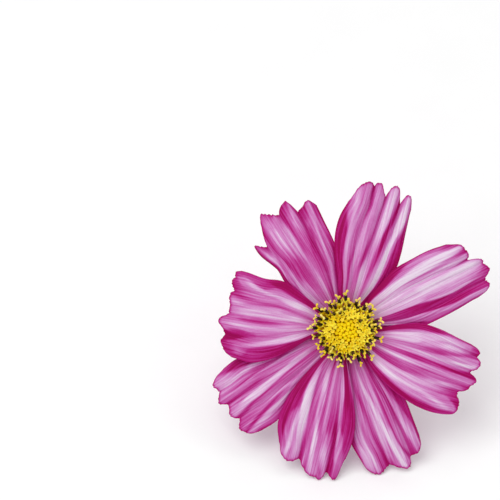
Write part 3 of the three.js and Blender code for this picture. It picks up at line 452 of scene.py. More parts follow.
        [(90, 30, 10, 50), (95, 32, 14, 65), (100, 30, 20, 80)],
        [(88, -25, 6, 60), (94, -26, 8, 76), (100, -26, 12, 88)],
        [(84, -60, 5, 60), (90, -62, 9, 76), (100, -62, 14, 90)],
        [(38, -75, 3, 60), (50, -78, 7, 60), (60, -81, 7, 56), (70, -84, 6, 55)],
        [(12, -60, 4, 50), (20, -59, 5, 33), (30, -62, 5, 38), (40, -66, 4, 40), (50, -65, 3.5, 38),
         (60, -68, 4, 34), (70, -71, 4, 33), (80, -76, 4.5, 32), (95, -81, 5, 55)],
        [(0, -100, 28, 100), (30, -100, 27, 100), (40, -100, 21, 100), (50, -100, 14, 96),
         (60, -100, 13, 90), (75, -100, 15, 72), (100, -100, 12, 88)],
    ]),
]

STRIPE_SOFTNESS = 0.04  # a stripe's edge blends over this much of v each way
STRIPE_FADE = 0.08  # and its ends over this much of s
SHOWN_FROM = 0.2  # a stripe that starts nearer the root than this runs all the way to it
EDGE_LINE = 0.92  # tone of the dark line along a petal's edge
EDGE_LINE_WIDTH = 0.5
EDGE_LINE_START = (0.3, 0.6)  # it comes in over this stretch of s
RELIEF = 0.22  # a pale stripe stands this much higher than a dark one
RELIEF_START = (0.05, 0.3)  # and comes in over this stretch of s

# ---------------------------------------------------------------- disc sizes

DISC_WALL = 5.3  # radius of the receptacle
DISC_CROWN = 3.2  # height of its dome in the middle
DISC_BRIM = 1  # height where the dome meets the wall
DISC_BELLY = -2  # height where the wall meets the bowl under it
DISC_FLOOR = -6.1  # height of the bottom of that bowl
RECEPTACLE_GRID = (48, 24)  # faces round it and from its top to its foot

GOLDEN_ANGLE = 180 * (3 - math.sqrt(5))
FLORET_SPACING = 0.5  # floret n stands FLORET_SPACING * sqrt(n) from the axis
BUDS = 27  # the innermost florets are still closed
PARTING = 42  # florets up to this number are just parting their lobes
OPEN = 75  # florets up to this number are open, and the rest have anthers and styles too
FLORETS = 112
EARLY = (50, 61, 69, 74)  # open florets whose anthers already show
EARLY_STYLES = -0.4  # a random number below this gives one of them its style

LEAN_MIDDLE = 2  # how far the florets lean out from upright, in degrees
LEAN_EDGE = 46
LEAN_BOW = 1.05  # above 1, the lean grows faster towards the margin
LEAN_OUTERMOST = 8  # how much more the florets with anthers lean
LEAN_UNEVEN = (3, 11)  # how much each floret's lean varies, and those with anthers on top of that
SIDEWAYS_UNEVEN = 4  # how much they lean to one side

# Sizes of the copies beside their models, as (plain size, how much it varies).
BUD_SIZE = (0.95, 0.07)
BUD_GROWTH = 0.004  # each bud is this much larger than the one before it
BUD_SUNK = 0.35  # how far its foot is sunk into the dome
OPEN_SIZE = (1.07, 0.1)
OPEN_SUNK = 0.1
OPEN_TURN = 0.35  # radians
LENGTH_GAIN = 0.3  # share by which the outermost florets are longer
LENGTH_UNEVEN = 0.05
STYLE_SIZE = (1.05, 0.16)
STYLE_UNEVEN = 0.15  # how far a style's height varies

# How far the anthers stand out of an early floret, the first of the later ones and the last.
ANTHERS_OUT = (3.2, 3.7, 4.8)
ANTHERS_UNEVEN = 0.45
TUBE_TOP = 3.05  # height of the tube of anthers in its own model

# Profiles of the florets are (radius, height) points. Beside each stands how far its radius and its height
# swell over the five lobes.
LOBES = 5
FLORET_SIDES = 20
BUD = (
    [(0, -0.5), (0.4, -0.5), (0.45, 0.2), (0.52, 0.65), (0.5, 0.95), (0.34, 1.22), (0.12, 1.3), (0, 1.22)],
    [(0, 0), (0, 0), (0.02, 0), (0.05, 0), (0.06, 0.02), (0.08, 0.06), (0.06, 0.06), (0, 0)],
)
PARTING_FLORET = (
    [(0, -0.6), (0.36, -0.6), (0.42, 0.5), (0.5, 1.1), (0.46, 1.55), (0.3, 1.75), (0.14, 1.6), (0, 1.5)],
    [(0, 0), (0, 0), (0.02, 0), (0.06, 0), (0.14, 0.12), (0.16, 0.3), (0.04, 0.1), (0, 0)],
)
OPEN_FLORET = (
    [(0, -0.6), (0.32, -0.6), (0.4, 0.8), (0.48, 1.5), (0.54, 1.8), (0.42, 1.95), (0.24, 1.8), (0, 1.72)],
    [(0, 0), (0, 0), (0.02, 0), (0.12, 0.1), (0.46, 0.4), (0.46, 0.56), (0.08, 0.1), (0, 0)],
)
ANTHER_TUBE = (
    [(0, 0.6), (0.2, 0.6), (0.27, 1.1), (0.35, 1.5), (0.37, 2.5), (0.3, 2.9), (0.18, 3), (0, 2.85)],
    [(0, 0), (0, 0), (0.03, 0), (0.06, 0), (0.07, 0), (0.08, 0.12), (0.05, 0.16), (0, 0)],
)

# A style's stalk and one of its two arms: points of their paths, the radius at each, and their rings.
STALK = ([(0, 0, -0.5), (0, 0, 0), (0, 0, 0.4)], [0.18, 0.19, 0.22], 3)
ARM = ([(0.04, 0, 0.25), (0.24, 0, 0.62), (0.5, 0, 0.84), (0.74, 0, 0.78)], [0.16, 0.18, 0.24, 0.3], 6)
STYLE_SIDES = 8
STYLE_TONE = 0.75  # the place of its colour between a floret's foot, 0, and its lobes, 1

# ---------------------------------------------------------------- bract and stem sizes

BRACTS = 8

CUP_REACH = (11.6, 0.5)  # distance of the inner bracts' points from the axis, and how much it varies
CUP_WALL = 5.62  # radius of the bowl that they form
CUP_GAP = 0.35  # and how far it lies under the receptacle
CUP_FLARE = -1.8  # height where they leave the bowl
CUP_TIP = -1  # height of their points
CUP_LAP = 0.24  # every other bract lies this much further out
CUP_BLADE = 0.3
CUP_BOWL = 0.55  # share of a bract's length that forms the bowl
CUP_TURN = 82  # degrees that it turns through there
CUP_HALF_ANGLE = 29  # half its width, in degrees about the axis
CUP_NARROW = 0.55  # share of that width at its foot
CUP_EDGE_CURL = 0.35  # its margins curl forward this far at its point
CUP_MIDRIB = 0.12
CUP_POINT = (2.2, 0.75)  # exponents of the curve that rounds it off to its point
CUP_MARGIN = (0.72, 0.95)  # its margin pales between these shares of its half width
CUP_MARGIN_START = (0.4, 0.7)  # from this stretch of its length on
CUP_FOOT = (0.05, 0.45)  # and the green of its foot fades over this one
CUP_GRID = (28, 48)

RUFF_REACH = (10.2, 0.6)  # the same for the outer bracts
RUFF_MIDDLE = -7.85  # height of the outer bracts where they leave their hub
RUFF_ROOT = 1  # distance from the axis where they start
RUFF_WIDTH = 1.9
RUFF_THICK = 0.5
RUFF_DROOP = 1.4  # how far their points hang below their roots
RUFF_LIFT = 0.4  # how much the height of their points varies
RUFF_KEEL = 0.35  # their margins stand this much higher than their middles
RUFF_TURN = 10  # degrees from the midline of the first inner bract to that of the first outer one
RUFF_TAPER = (0.28, 0.72)  # start and length of the stretch of a half sine wave that is its outline
RUFF_FULLNESS = (0.8, 0.6)  # exponents, smaller for a fuller outline and for a fuller section
RUFF_GRID = (28, 44)
RIB_WIDTH = 0.14  # a pale rib down the middle of each
RIB_START = (2, 4)  # comes in over this stretch from the axis

HUB_SIDES = 48
HUB_PROFILE = [
    (0, -8.7), (1.7, -8.7), (2.1, -8.45), (2.4, -8), (2.6, -7.4), (2.9, -6.8), (3.1, -6.3), (2.9, -5.95),
    (1.4, -6.3), (0, -6.3),
]

STEM_RADIUS = 1.05
STEM_COLLAR = 2.1  # radius of its flared top
STEM_COLLAR_LENGTH = 3.2
STEM_RIBS = 9
STEM_RIB_DEPTH = 0.05
STEM_RIB_TWIST = 0.02  # radians to a millimetre
STEM_CUT = 0.85  # share of the radius out to which the cut shows
STEM_GRID = (54, 120)
STEM_PATH = [
    (0, 0, -8.1), (0, 0.1, -14), (0.4, 0.9, -24), (0.7, 3.6, -36), (0.1, 8.7, -46), (-1.1, 15, -53.5),
]

# ---------------------------------------------------------------- stage

# The camera looks straight into the face, with the flower where the photograph has it in its frame.
PHOTO_SIDE = 500  # pixels
PHOTO_SCALE = 0.26  # millimetres to a pixel
FLOWER_PIXEL = (346, 330)
CAMERA_AWAY = 1000
SENSOR = 36  # width of the camera's sensor
CLIP = (0.01, 20)  # metres

# The lights, as direction from the flower in its head frame, distance and side in metres, and share of the
# key light's power.
LIGHTS = {
    "key_light": ((-0.42, 0.5, 1.0), 0.9, 0.7, 1.0),
    "top_light": ((0.3, 0.9, 0.25), 1.1, 0.9, 0.5),
}

# ---------------------------------------------------------------- repeatable variety

# Each thing that varies at random has a draw of its own, so that one can change without the others.
DRAWS = {
    "outer lean": 1, "size": 2, "turn": 3, "anther height": 5, "lean": 6, "sideways lean": 7, "style turn": 8,
    "shade": 9, "early style": 10, "style size": 11, "style height": 12, "length": 13, "cup reach": 20,
    "ruff reach": 21, "ruff lift": 22,
}

# The noise of a petal, bract or stem starts from a number of its own, worked out from these.
PETAL_STRANDS = 7.3
CUP_STRANDS = 3.1
RUFF_STRANDS = 2.7
HUB_STRAND = 9
STEM_STRAND = 4

# ---------------------------------------------------------------- curves and random numbers


def smooth(x, start, end):
    """0 before start, 1 after end, and a smooth step between them."""
    share = np.clip((x - start) / (end - start), 0, 1)
    return share * share * (3 - 2 * share)


def along(xs, ys, x):
    """Value at x of a smooth curve through the points (xs, ys), held level past its ends."""
    xs, ys, x = (np.asarray(a, float) for a in (xs, ys, x))
    before = np.maximum(np.arange(len(xs)) - 1, 0)
    after = np.minimum(np.arange(len(xs)) + 1, len(xs) - 1)
    slope = (ys[after] - ys[before]) / (xs[after] - xs[before])
    i = np.clip(np.searchsorted(xs, x, side="right") - 1, 0, len(xs) - 2)
    span = xs[i + 1] - xs[i]
    share = np.clip((x - xs[i]) / span, 0, 1)
    eased = smooth(share, 0, 1)
    bulge = span * share * (1 - share) * (slope[i] * (1 - share) - slope[i + 1] * share)
    return ys[i] * (1 - eased) + ys[i + 1] * eased + bulge


def turned(x, y, degrees):
    """x and y turned about the flower's axis."""
    c, s = math.cos(math.radians(degrees)), math.sin(math.radians(degrees))
    return x * c - y * s, x * s + y * c


def random_number(item, what):
    """A repeatable random number from -1 to 1: what names one of the DRAWS, and each item has its own."""
    return float(np.random.default_rng((item, DRAWS[what])).uniform(-1, 1))


def wander(seed, x, knots):
    """A smooth seeded curve between -1 and 1, with that many knots while x goes from 0 to 1."""
    heights = np.random.default_rng(seed).uniform(-1, 1, knots + 2)
    place = np.clip(np.asarray(x, float), 0, 1) * knots
    i = np.minimum(place.astype(int), knots)
    share = smooth(place - i, 0, 1)
    return heights[i] * (1 - share) + heights[i + 1] * share


# ---------------------------------------------------------------- meshes


def deselect():
    """Selects nothing, because an operator acts on all that is selected."""
    for thing in bpy.context.selected_objects:
        thing.select_set(False)


def select(*things):
    """Selects these objects alone and makes the first one active."""
    deselect()
    for thing in things:
        thing.select_set(True)
    bpy.context.view_layer.objects.active = things[0]


def sheet(name, columns, rows, place):
    """A grid primitive shaped by a formula: place(u, w) gives x, y and z in millimetres, in the head frame,
    where u runs from 0 to 1 over the columns and w over the rows."""
    deselect()
    bpy.ops.mesh.primitive_grid_add(x_subdivisions=columns, y_subdivisions=rows, size=1)
    thing = bpy.context.active_object
    thing.name = thing.data.name = name
    flat = np.zeros(len(thing.data.vertices) * 3)
    thing.data.vertices.foreach_get("co", flat)
    flat = flat.reshape(-1, 3)
    x, y, z = place(flat[:, 0] + 0.5, flat[:, 1] + 0.5)
    placed = np.stack(np.broadcast_arrays(x, y, z), 1) * MM
    thing.data.vertices.foreach_set("co", placed.ravel())
    thing.data.update()
    return thing


def sheet_points(columns, rows):
    """u and w of the points of such a sheet, in the order of its mesh."""
    u, w = np.meshgrid(np.linspace(0, 1, columns + 1), np.linspace(0, 1, rows + 1))
    return u.ravel(), w.ravel()


def rolled(name, around, rings, place):
    """A sheet rolled into a closed body: place(turn, w) gives x, y and z, where turn runs once round and the
    first and last rings have shrunk to points. Its seam and its poles are merged."""
    thing = sheet(name, around, rings, lambda u, w: place(u * 2 * math.pi, w))
    select(thing)
    bpy.ops.object.mode_set(mode="EDIT")
    bpy.ops.mesh.select_all(action="SELECT")
    bpy.ops.mesh.remove_doubles(threshold=MERGE_WITHIN)
    bpy.ops.mesh.normals_make_consistent(inside=False)
    bpy.ops.object.mode_set(mode="OBJECT")
    return thing


def lathe(name, around, profile, swell=None):
    """A body of revolution through (radius, height) points. swell gives for each ring how far its radius and
    its height grow over the lobes."""
    radii, heights = zip(*profile)
    wide, tall = zip(*(swell or [(0, 0)] * len(profile)))
    stations = np.linspace(0, 1, len(profile))

    def place(turn, w):
        ridge = np.cos(turn * LOBES / 2) ** 2
        radius = np.interp(w, stations, radii) + np.interp(w, stations, wide) * ridge
        height = np.interp(w, stations, heights) + np.interp(w, stations, tall) * ridge
        return np.cos(turn) * radius, np.sin(turn) * radius, height

    thing = rolled(name, around, len(profile) - 1, place)
    mark_height(thing)
    return thing


def swept(name, around, rings, stations, path, radius_at):
    """A closed tube along a smooth curve. stations says how far along it each point of the path lies, and
    radius_at(turn, far) gives its radius."""
    axes = list(zip(*path))
    cap = 0.5 / (rings + 2)  # the first and last rings shrink to points and close its ends
    step = 1e-3 * stations[-1]

    def place(turn, w):
        far = np.clip((w * (rings + 2) - 1) / rings, 0, 1) * stations[-1]
        centre = np.stack([along(stations, axis, far) for axis in axes])
        ahead = np.stack([along(stations, axis, far + step) for axis in axes])
        behind = np.stack([along(stations, axis, far - step) for axis in axes])
        tangent = (ahead - behind) / np.linalg.norm(ahead - behind, axis=0)
        first = np.stack([tangent[2], np.zeros_like(turn), -tangent[0]])
        first = first / np.linalg.norm(first, axis=0)
        second = np.cross(tangent, first, axis=0)
        radius = np.where((w > cap) & (w < 1 - cap), radius_at(turn, far), 0)
        return tuple(centre + radius * (np.cos(turn) * first + np.sin(turn) * second))

    return rolled(name, around, rings + 2, place)


def thicken(thing, thickness):
    """Gives a sheet its thickness in metres, half on each side, and marks its underside."""
    select(thing)
    count = len(thing.data.vertices)
    solidify = thing.modifiers.new("thickness", "SOLIDIFY")
    solidify.thickness = thickness
    solidify.offset = 0
    solidify.use_even_offset = True
    bpy.ops.object.modifier_apply(modifier=solidify.name)
    mark(thing, "underside", np.arange(len(thing.data.vertices)) >= count)


def points_of(thing):
    """The points of a mesh in millimetres, one row each."""
    return np.array([point.co for point in thing.data.vertices]) / MM


def mark(thing, name, values):
    """Stores a number for each point of the mesh, which its material reads."""
    count = len(thing.data.vertices)
    layer = thing.data.attributes.get(name) or thing.data.attributes.new(name, "FLOAT", "POINT")
    layer.data.foreach_set("value", np.broadcast_to(values, count).astype(np.float32))


def mark_height(thing):
    """Marks the points of a body with their height, 0 at its lowest point and 1 at its highest."""
    level = points_of(thing)[:, 2]
    mark(thing, "height", (level - level.min()) / np.ptp(level))


def join(name, things):
    """Makes these objects one."""
    select(*things)
    bpy.ops.object.join()
    things[0].name = things[0].data.name = name
    return things[0]


def copies(template, name, places):
    """Joins a copy of the template at each of the places, and removes the template."""
    made = []
    for k, place in enumerate(places):
        copy = bpy.data.objects.new(f"{name}_{k}", template.data.copy())
        copy.data.transform(place)
        bpy.context.scene.collection.objects.link(copy)
        mark(copy, "shade", random_number(k, "shade"))
        made.append(copy)
    bpy.data.objects.remove(template)
    return join(name, made)


def finish_piece(thing, material, node, crease=60):
    """Lays a piece down with the head, smooths it, and hands it to the frame in place of its node."""
    thing.data.transform(HEAD)
    thing.data.materials.clear()
    thing.data.materials.append(material)
    select(thing)
    bpy.ops.object.shade_smooth_by_angle(angle=math.radians(crease))
    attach(thing, BODY)
    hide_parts(node)


# ---------------------------------------------------------------- material nodes


def srgb(red, green, blue):
    """A colour given as on a screen, from 0 to 255, as the linear one that shaders use."""
    return tuple(
        (c / 255 / 12.92) if c < 10 else ((c / 255 + 0.055) / 1.055) ** 2.4 for c in (red, green, blue)
    )


def new_material(name, color, roughness, specular=0.4):
    """A material of one plain colour, with its node tree and its shader."""
    material = bpy.data.materials.new(name)
    material.use_nodes = True
    material.diffuse_color = (*color, 1)
    shader = material.node_tree.nodes["Principled BSDF"]
    shader.inputs["Base Color"].default_value = (*color, 1)
    shader.inputs["Roughness"].default_value = roughness
    shader.inputs["Specular IOR Level"].default_value = specular
    return material, material.node_tree, shader


def attribute(tree, name):
    """What mark stored under that name."""
    node = tree.nodes.new("ShaderNodeAttribute")
    node.attribute_name = name
    return node.outputs["Fac"]


def feed(tree, socket, value):
    """Links a socket's value to it, or sets a constant on it."""
    if isinstance(value, bpy.types.NodeSocket):
        tree.links.new(value, socket)
    else:
        socket.default_value = value if socket.type == "VALUE" else (*value, 1)


def calculate(tree, operation, *values, clamp=False):
    """Result of a math node on sockets or constants."""
    node = tree.nodes.new("ShaderNodeMath")
    node.operation = operation
    node.use_clamp = clamp
    for socket, value in zip(node.inputs, values):
        feed(tree, socket, value)
    return node.outputs[0]


def varied(tree, value, grain, amount, clamp=False):
    """The value, raised where the grain is above its mean of 0.5 and lowered where it is below."""
    swing = calculate(tree, "SUBTRACT", grain, 0.5)
    return calculate(tree, "MULTIPLY_ADD", swing, amount, value, clamp=clamp)


def smoothed(tree, value, start, end):
    """The node form of smooth."""
    node = tree.nodes.new("ShaderNodeMapRange")
    node.interpolation_type = "SMOOTHSTEP"
    node.inputs["From Min"].default_value = start
    node.inputs["From Max"].default_value = end
    tree.links.new(value, node.inputs["Value"])
    return node.outputs["Result"]


def ramp(tree, factor, stops):
    """A colour ramp through (position, colour) stops."""
    node = tree.nodes.new("ShaderNodeValToRGB")
    elements = node.color_ramp.elements
    for _ in range(len(stops) - 2):
        elements.new(0.5)
    for element, (position, color) in zip(elements, stops):
        element.position = position
        element.color = (*color, 1)
    tree.links.new(factor, node.inputs["Fac"])
    return node.outputs["Color"]


def blend(tree, factor, first, second):
    """The first colour where the factor is 0 and the second where it is 1."""
    node = tree.nodes.new("ShaderNodeMix")
    node.data_type = "RGBA"
    colors = [socket for socket in node.inputs if socket.type == "RGBA"]
    for socket, value in zip((node.inputs["Factor"], *colors), (factor, first, second)):
        feed(tree, socket, value)
    return next(socket for socket in node.outputs if socket.type == "RGBA")


def noise(tree, kind, waves, detail=2, seed=None):
    """Noise over coordinates of that kind, UV or Object. waves says how fine it is along each axis, and seed
    is a socket that gives each piece its own."""
    source = tree.nodes.new("ShaderNodeTexCoord")
    mapping = tree.nodes.new("ShaderNodeMapping")
    mapping.inputs["Scale"].default_value = waves
    tree.links.new(source.outputs[kind], mapping.inputs["Vector"])
    node = tree.nodes.new("ShaderNodeTexNoise")
    node.inputs["Scale"].default_value = 1
    node.inputs["Detail"].default_value = detail
    tree.links.new(mapping.outputs["Vector"], node.inputs["Vector"])
    if seed is not None:
        node.noise_dimensions = "4D"
        tree.links.new(seed, node.inputs["W"])
    return node.outputs["Fac"]


def bump(tree, shader, height, distance):
    """Raises the surface by a height, which counts in that distance in millimetres."""
    node = tree.nodes.new("ShaderNodeBump")
    node.inputs["Distance"].default_value = distance * MM
    node.inputs["Strength"].default_value = 1
    tree.links.new(height, node.inputs["Height"])
    tree.links.new(node.outputs["Normal"], shader.inputs["Normal"])


# ---------------------------------------------------------------- materials


def petal_material(palest, darkest):
    """Satin petal: the painted tone, split into fine veins, picks the colour between lilac and crimson."""
    material, tree, shader = new_material("striped_petal", srgb(191, 88, 161), 0.55, 0.07)
    strand = attribute(tree, "strand")
    veins = noise(tree, "UV", (90, 3, 1), seed=strand)
    streaks = noise(tree, "UV", (38, 1.6, 1), seed=strand)
    mottle = noise(tree, "UV", (60, 45, 1), seed=strand)
    tone = varied(tree, attribute(tree, "tone"), veins, 0.6)
    tone = varied(tree, tone, streaks, 0.7)
    tone = varied(tree, tone, mottle, 0.16, clamp=True)
    face = ramp(tree, tone, [
        (0.0, palest),
        (0.2, srgb(215, 169, 209)),
        (0.4, srgb(203, 128, 188)),
        (0.6, srgb(191, 88, 161)),
        (0.8, srgb(177, 42, 130)),
        (0.92, srgb(168, 14, 106)),
        (1.0, darkest),
    ])
    back = blend(tree, 0.45, face, srgb(214, 170, 205))
    color = blend(tree, attribute(tree, "underside"), face, back)
    tree.links.new(color, shader.inputs["Base Color"])
    ribs = noise(tree, "UV", (48, 1.5, 1), seed=strand)
    fine = noise(tree, "UV", (150, 60, 1), seed=strand)
    bump(tree, shader, calculate(tree, "MULTIPLY_ADD", fine, 0.2, ribs), 0.16)
    return material


def floret_material(name, shaded_foot, plain, pale):
    """Waxy yellow floret: deeper at its foot, a painted shade where it sinks among its neighbours, paler at
    its lobes, a painted highlight, and no two quite alike.
    """
    material, tree, shader = new_material(name, plain, 0.5, 0.08)
    grain = noise(tree, "Object", (2600, 2600, 2600))
    place = varied(tree, attribute(tree, "height"), grain, 0.5)
    place = calculate(tree, "MULTIPLY_ADD", attribute(tree, "shade"), 0.2, place, clamp=True)
    # Painted shade and highlight: the colour runs with height from the shaded foot, deep among the other
    # florets, up to the highlit lobes.
    color = ramp(tree, place, [(0.2, shaded_foot), (0.68, plain), (1.0, pale)])
    tree.links.new(color, shader.inputs["Base Color"])
    bump(tree, shader, grain, 0.05)
    shader.inputs["Subsurface Weight"].default_value = 0.15
    shader.inputs["Subsurface Scale"].default_value = 0.0004
    return material


def anther_material():
    """Matt dark brown tube with fine grooves, streaked with lighter brown as a painted sheen, dusted with
    pollen at its mouth.
    """
    material, tree, shader = new_material("dark_anthers", srgb(40, 24, 16), 0.5, 0.2)
    grain = noise(tree, "Object", (4200, 4200, 4200))
    # The palest brown of this ramp is a painted sheen, and the shade number lifts whole tubes towards it.
    place = calculate(tree, "MULTIPLY_ADD", attribute(tree, "shade"), 0.1, grain)
    color = ramp(tree, place, [
        (0.38, srgb(12, 4, 2)),
        (0.58, srgb(50, 22, 12)),
        (0.78, srgb(126, 84, 54)),
    ])
    mouth = smoothed(tree, attribute(tree, "height"), 0.93, 1.0)
    dusted = calculate(tree, "MULTIPLY", mouth, grain)
    tree.links.new(blend(tree, dusted, color, srgb(214, 176, 48)), shader.inputs["Base Color"])
    bump(tree, shader, grain, 0.05)
    return material


def receptacle_material():
    """Yellow between the florets and pale green down its wall."""
    material, tree, shader = new_material("receptacle", srgb(170, 140, 10), 0.6, 0.1)
    grain = noise(tree, "Object", (1500, 1500, 1500), detail=3)
    dome_color = ramp(tree, grain, [(0.35, srgb(210, 156, 0)), (0.65, srgb(236, 190, 6))])
    wall_color = ramp(tree, grain, [(0.35, srgb(112, 132, 50)), (0.65, srgb(150, 168, 76))])
    on_dome = smoothed(tree, attribute(tree, "height"), 0.68, 0.8)
    tree.links.new(blend(tree, on_dome, wall_color, dome_color), shader.inputs["Base Color"])
    bump(tree, shader, grain, 0.08)
    return material


def inner_bract_material(plain):
    """Thin membrane, straw yellow with brown veins, a paler margin and a green foot."""
    material, tree, shader = new_material("membranous_bract", plain, 0.45)
    veins = noise(tree, "UV", (26, 1.6, 1), detail=3, seed=attribute(tree, "strand"))
    color = ramp(tree, veins, [
        (0.32, srgb(118, 108, 50)),
        (0.5, plain),
        (0.7, srgb(204, 196, 128)),
    ])
    color = blend(tree, attribute(tree, "margin"), color, srgb(206, 190, 140))
    color = blend(tree, attribute(tree, "foot"), color, srgb(104, 128, 52))
    tree.links.new(color, shader.inputs["Base Color"])
    bump(tree, shader, veins, 0.1)
    return material


def green_material(name, dark, plain, pale, waves):
    """Satin green with fine lines along it, pale ribs and a paler cut."""
    material, tree, shader = new_material(name, plain, 0.45)
    lines = noise(tree, "UV", waves, detail=3, seed=attribute(tree, "strand"))
    patches = noise(tree, "Object", (90, 90, 90))
    place = calculate(tree, "MULTIPLY_ADD", patches, 0.35, calculate(tree, "MULTIPLY", lines, 0.75))
    color = ramp(tree, place, [(0.38, dark), (0.55, plain), (0.74, pale)])
    rib = calculate(tree, "MULTIPLY", attribute(tree, "rib"), 0.55)
    color = blend(tree, rib, color, pale)
    color = blend(tree, attribute(tree, "cut"), color, srgb(196, 204, 140))
    tree.links.new(color, shader.inputs["Base Color"])
    bump(tree, shader, lines, 0.08)
    return material


def floor_material(color):
    """Plain pale floor, with a slow and faint change of shade."""
    material, tree, shader = new_material("pale_floor", color, 0.9, 0.1)
    grain = noise(tree, "Object", (60, 60, 60))
    shaded = tuple(c * 0.985 for c in color)
    tree.links.new(ramp(tree, grain, [(0.3, shaded), (0.7, color)]), shader.inputs["Base Color"])
    return material


# ---------------------------------------------------------------- petals


def half_width(petal, side, r):
    """Half width of a petal at r, on its left where side is positive and on its right elsewhere."""
    left, right = (along(STATIONS, petal[margin], r) for margin in ("left", "right"))
    return np.where(np.asarray(side) >= 0, left, right)


def pleats_of(petal):
    """The ridges and valleys of a petal's end, from left to right, as v and the share of the pleat's height
    there: 1 on a lobe, 0 at a corner."""
    ends = petal["ends"]
    made = []
    for k, (x, r) in enumerate(ends):
        if k in (0, len(ends) - 1):
            made.append((math.copysign(1, x), 0))
        elif k % 2:
            made.append((x / half_width(petal, x, r), 1))
        else:
            cut = (ends[k - 1][1] + ends[k + 1][1]) / 2 - r
            made.append((x / half_width(petal, x, r), 1 - min(1, max(SHALLOWEST, cut / NOTCH_DEPTH))))
    return made


def pleat_at(pleats, v):
    """The share of the pleat's height at v: a ridge runs out to each lobe and a valley to each notch."""
    height = np.zeros_like(v)
    for k in range(len(pleats) - 1):
        lobe, foot = (pleats[k], pleats[k + 1]) if k % 2 else (pleats[k + 1], pleats[k])
        share = np.clip((v - foot[0]) / (lobe[0] - foot[0]), 0, 1)
        here = (v <= pleats[k][0]) & (v >= pleats[k + 1][0])
        height = np.where(here, foot[1] + (1 - foot[1]) * np.sin(share * math.pi / 2), height)
    return height


def outline_of(petal):
    """The lobes of a petal's edge, each as its v from right to left and how far out the edge lies there."""
    made = []
    notch = []
    for lobe in petal["edge"]:
        x, r = np.array([*notch, *lobe])[::-1].T
        made.append((x / half_width(petal, x, r), r))
        notch = lobe[-1:]
    made[0][0][-1] = 1
    made[-1][0][0] = -1
    return made


def edge_at(outline, v):
    """How far out the edge of a petal lies at v."""
    reach = np.zeros_like(v)
    for places, distances in outline:
        here = (v >= places[0]) & (v <= places[-1])
        reach = np.where(here, along(places, distances, v), reach)
    return reach


def petal_height(petal, r, v, pleat):
    """The height of a petal at a distance r from the axis and at v across it, where its pleats have that
    share of their height."""
    out = r - PETAL_ROOT
    bend = math.tan(math.radians(petal["rise"])) * out - ARCH * (out / ARCH_SPAN) ** 2
    left, right = ((-0.5 if tuck else 0.5) * OVERLAP_STEP for tuck in petal["tuck"])
    twist = (left - right) / 2 * v * smooth(out, 0, TWIST_OVER)
    tuck = np.where(v > 0, *petal["tuck"])
    inward = 1 - smooth(1 - np.abs(v), *PRESSED)
    outward = 1 - smooth(r, tuck, tuck + RELEASE)
    pressed = np.where(tuck > 0, inward * outward, 0)
    ridge = (1 - RIDGE_SHARE) * smooth(out, *RIDGE_START) + RIDGE_SHARE * smooth(out, *RIDGE_END)
    return bend + (left + right) / 2 + twist + petal["pleat"] * pleat * ridge * (1 - pressed)


def painted_tone(paint, s, v):
    """The tone of a petal's colour, from 0 to 1: its ground, with each stripe laid over those before it."""
    ground, stripes = paint
    tone = along([0, 0.5, 1], np.divide(ground, 100), s)
    for stripe in stripes:
        stations, middles, widths, tones = np.transpose(stripe) / 100
        start, stop = stations[0], stations[-1]
        middle, width = along(stations, middles, s), along(stations, widths, s)
        soft = np.minimum(width, STRIPE_SOFTNESS)
        cover = 1 - smooth(np.abs(v - middle), width - soft, width + soft)
        if start > SHOWN_FROM:
            cover = cover * smooth(s, start - STRIPE_FADE, start)
        if stop < 1:
            cover = cover * (1 - smooth(s, stop, stop + STRIPE_FADE))
        tone = tone + (along(stations, tones, s) - tone) * cover
    return np.clip(tone, 0, 1)


def make_petal(number, material, thickness):
    """Petal number 1 is the first in PETALS: a pleated sheet with its outline, its relief and its tones."""
    petal, paint = PETALS[number - 1], PAINT[number - 1]
    pleats, outline = pleats_of(petal), outline_of(petal)

    def layout(u, w):
        """At a point of the petal's grid: v, s, its distance from the axis and that of the petal's edge."""
        v, s = 1 - 2 * u, w**ROW_CROWDING
        fray = FRAY * wander(100 * number, u, FRAY_KNOTS) * np.minimum(1, (1 - np.abs(v)) / FRAY_FADE)
        edge = edge_at(outline, v) + fray
        return v, s, PETAL_ROOT + (edge - PETAL_ROOT) * s, edge

    def place(u, w):
        v, s, r, _ = layout(u, w)
        relief = RELIEF * (0.5 - painted_tone(paint, s, v)) * smooth(s, *RELIEF_START)
        x, y = turned(r, v * half_width(petal, v, r), petal["toward"])
        return x, y, petal_height(petal, r, v, pleat_at(pleats, v)) + relief

    thing = sheet(f"ray_petal_{number}", *PETAL_GRID, place)
    v, s, r, edge = layout(*sheet_points(*PETAL_GRID))
    tone = painted_tone(paint, s, v)
    from_edge = np.minimum(edge - r, (1 - np.abs(v)) * half_width(petal, v, r))
    line = np.exp(-((from_edge / EDGE_LINE_WIDTH) ** 2)) * smooth(s, *EDGE_LINE_START)
    mark(thing, "tone", tone + (np.maximum(tone, EDGE_LINE) - tone) * line)
    mark(thing, "strand", number * PETAL_STRANDS)
    thicken(thing, thickness)
    finish_piece(thing, material, f"petal_{number}")


# ---------------------------------------------------------------- disc of florets


def dome(r):
    """Height of the receptacle's dome at a distance r from the axis."""
    return DISC_BRIM + (DISC_CROWN - DISC_BRIM) * math.sqrt(max(0, 1 - (r / DISC_WALL) ** 2))


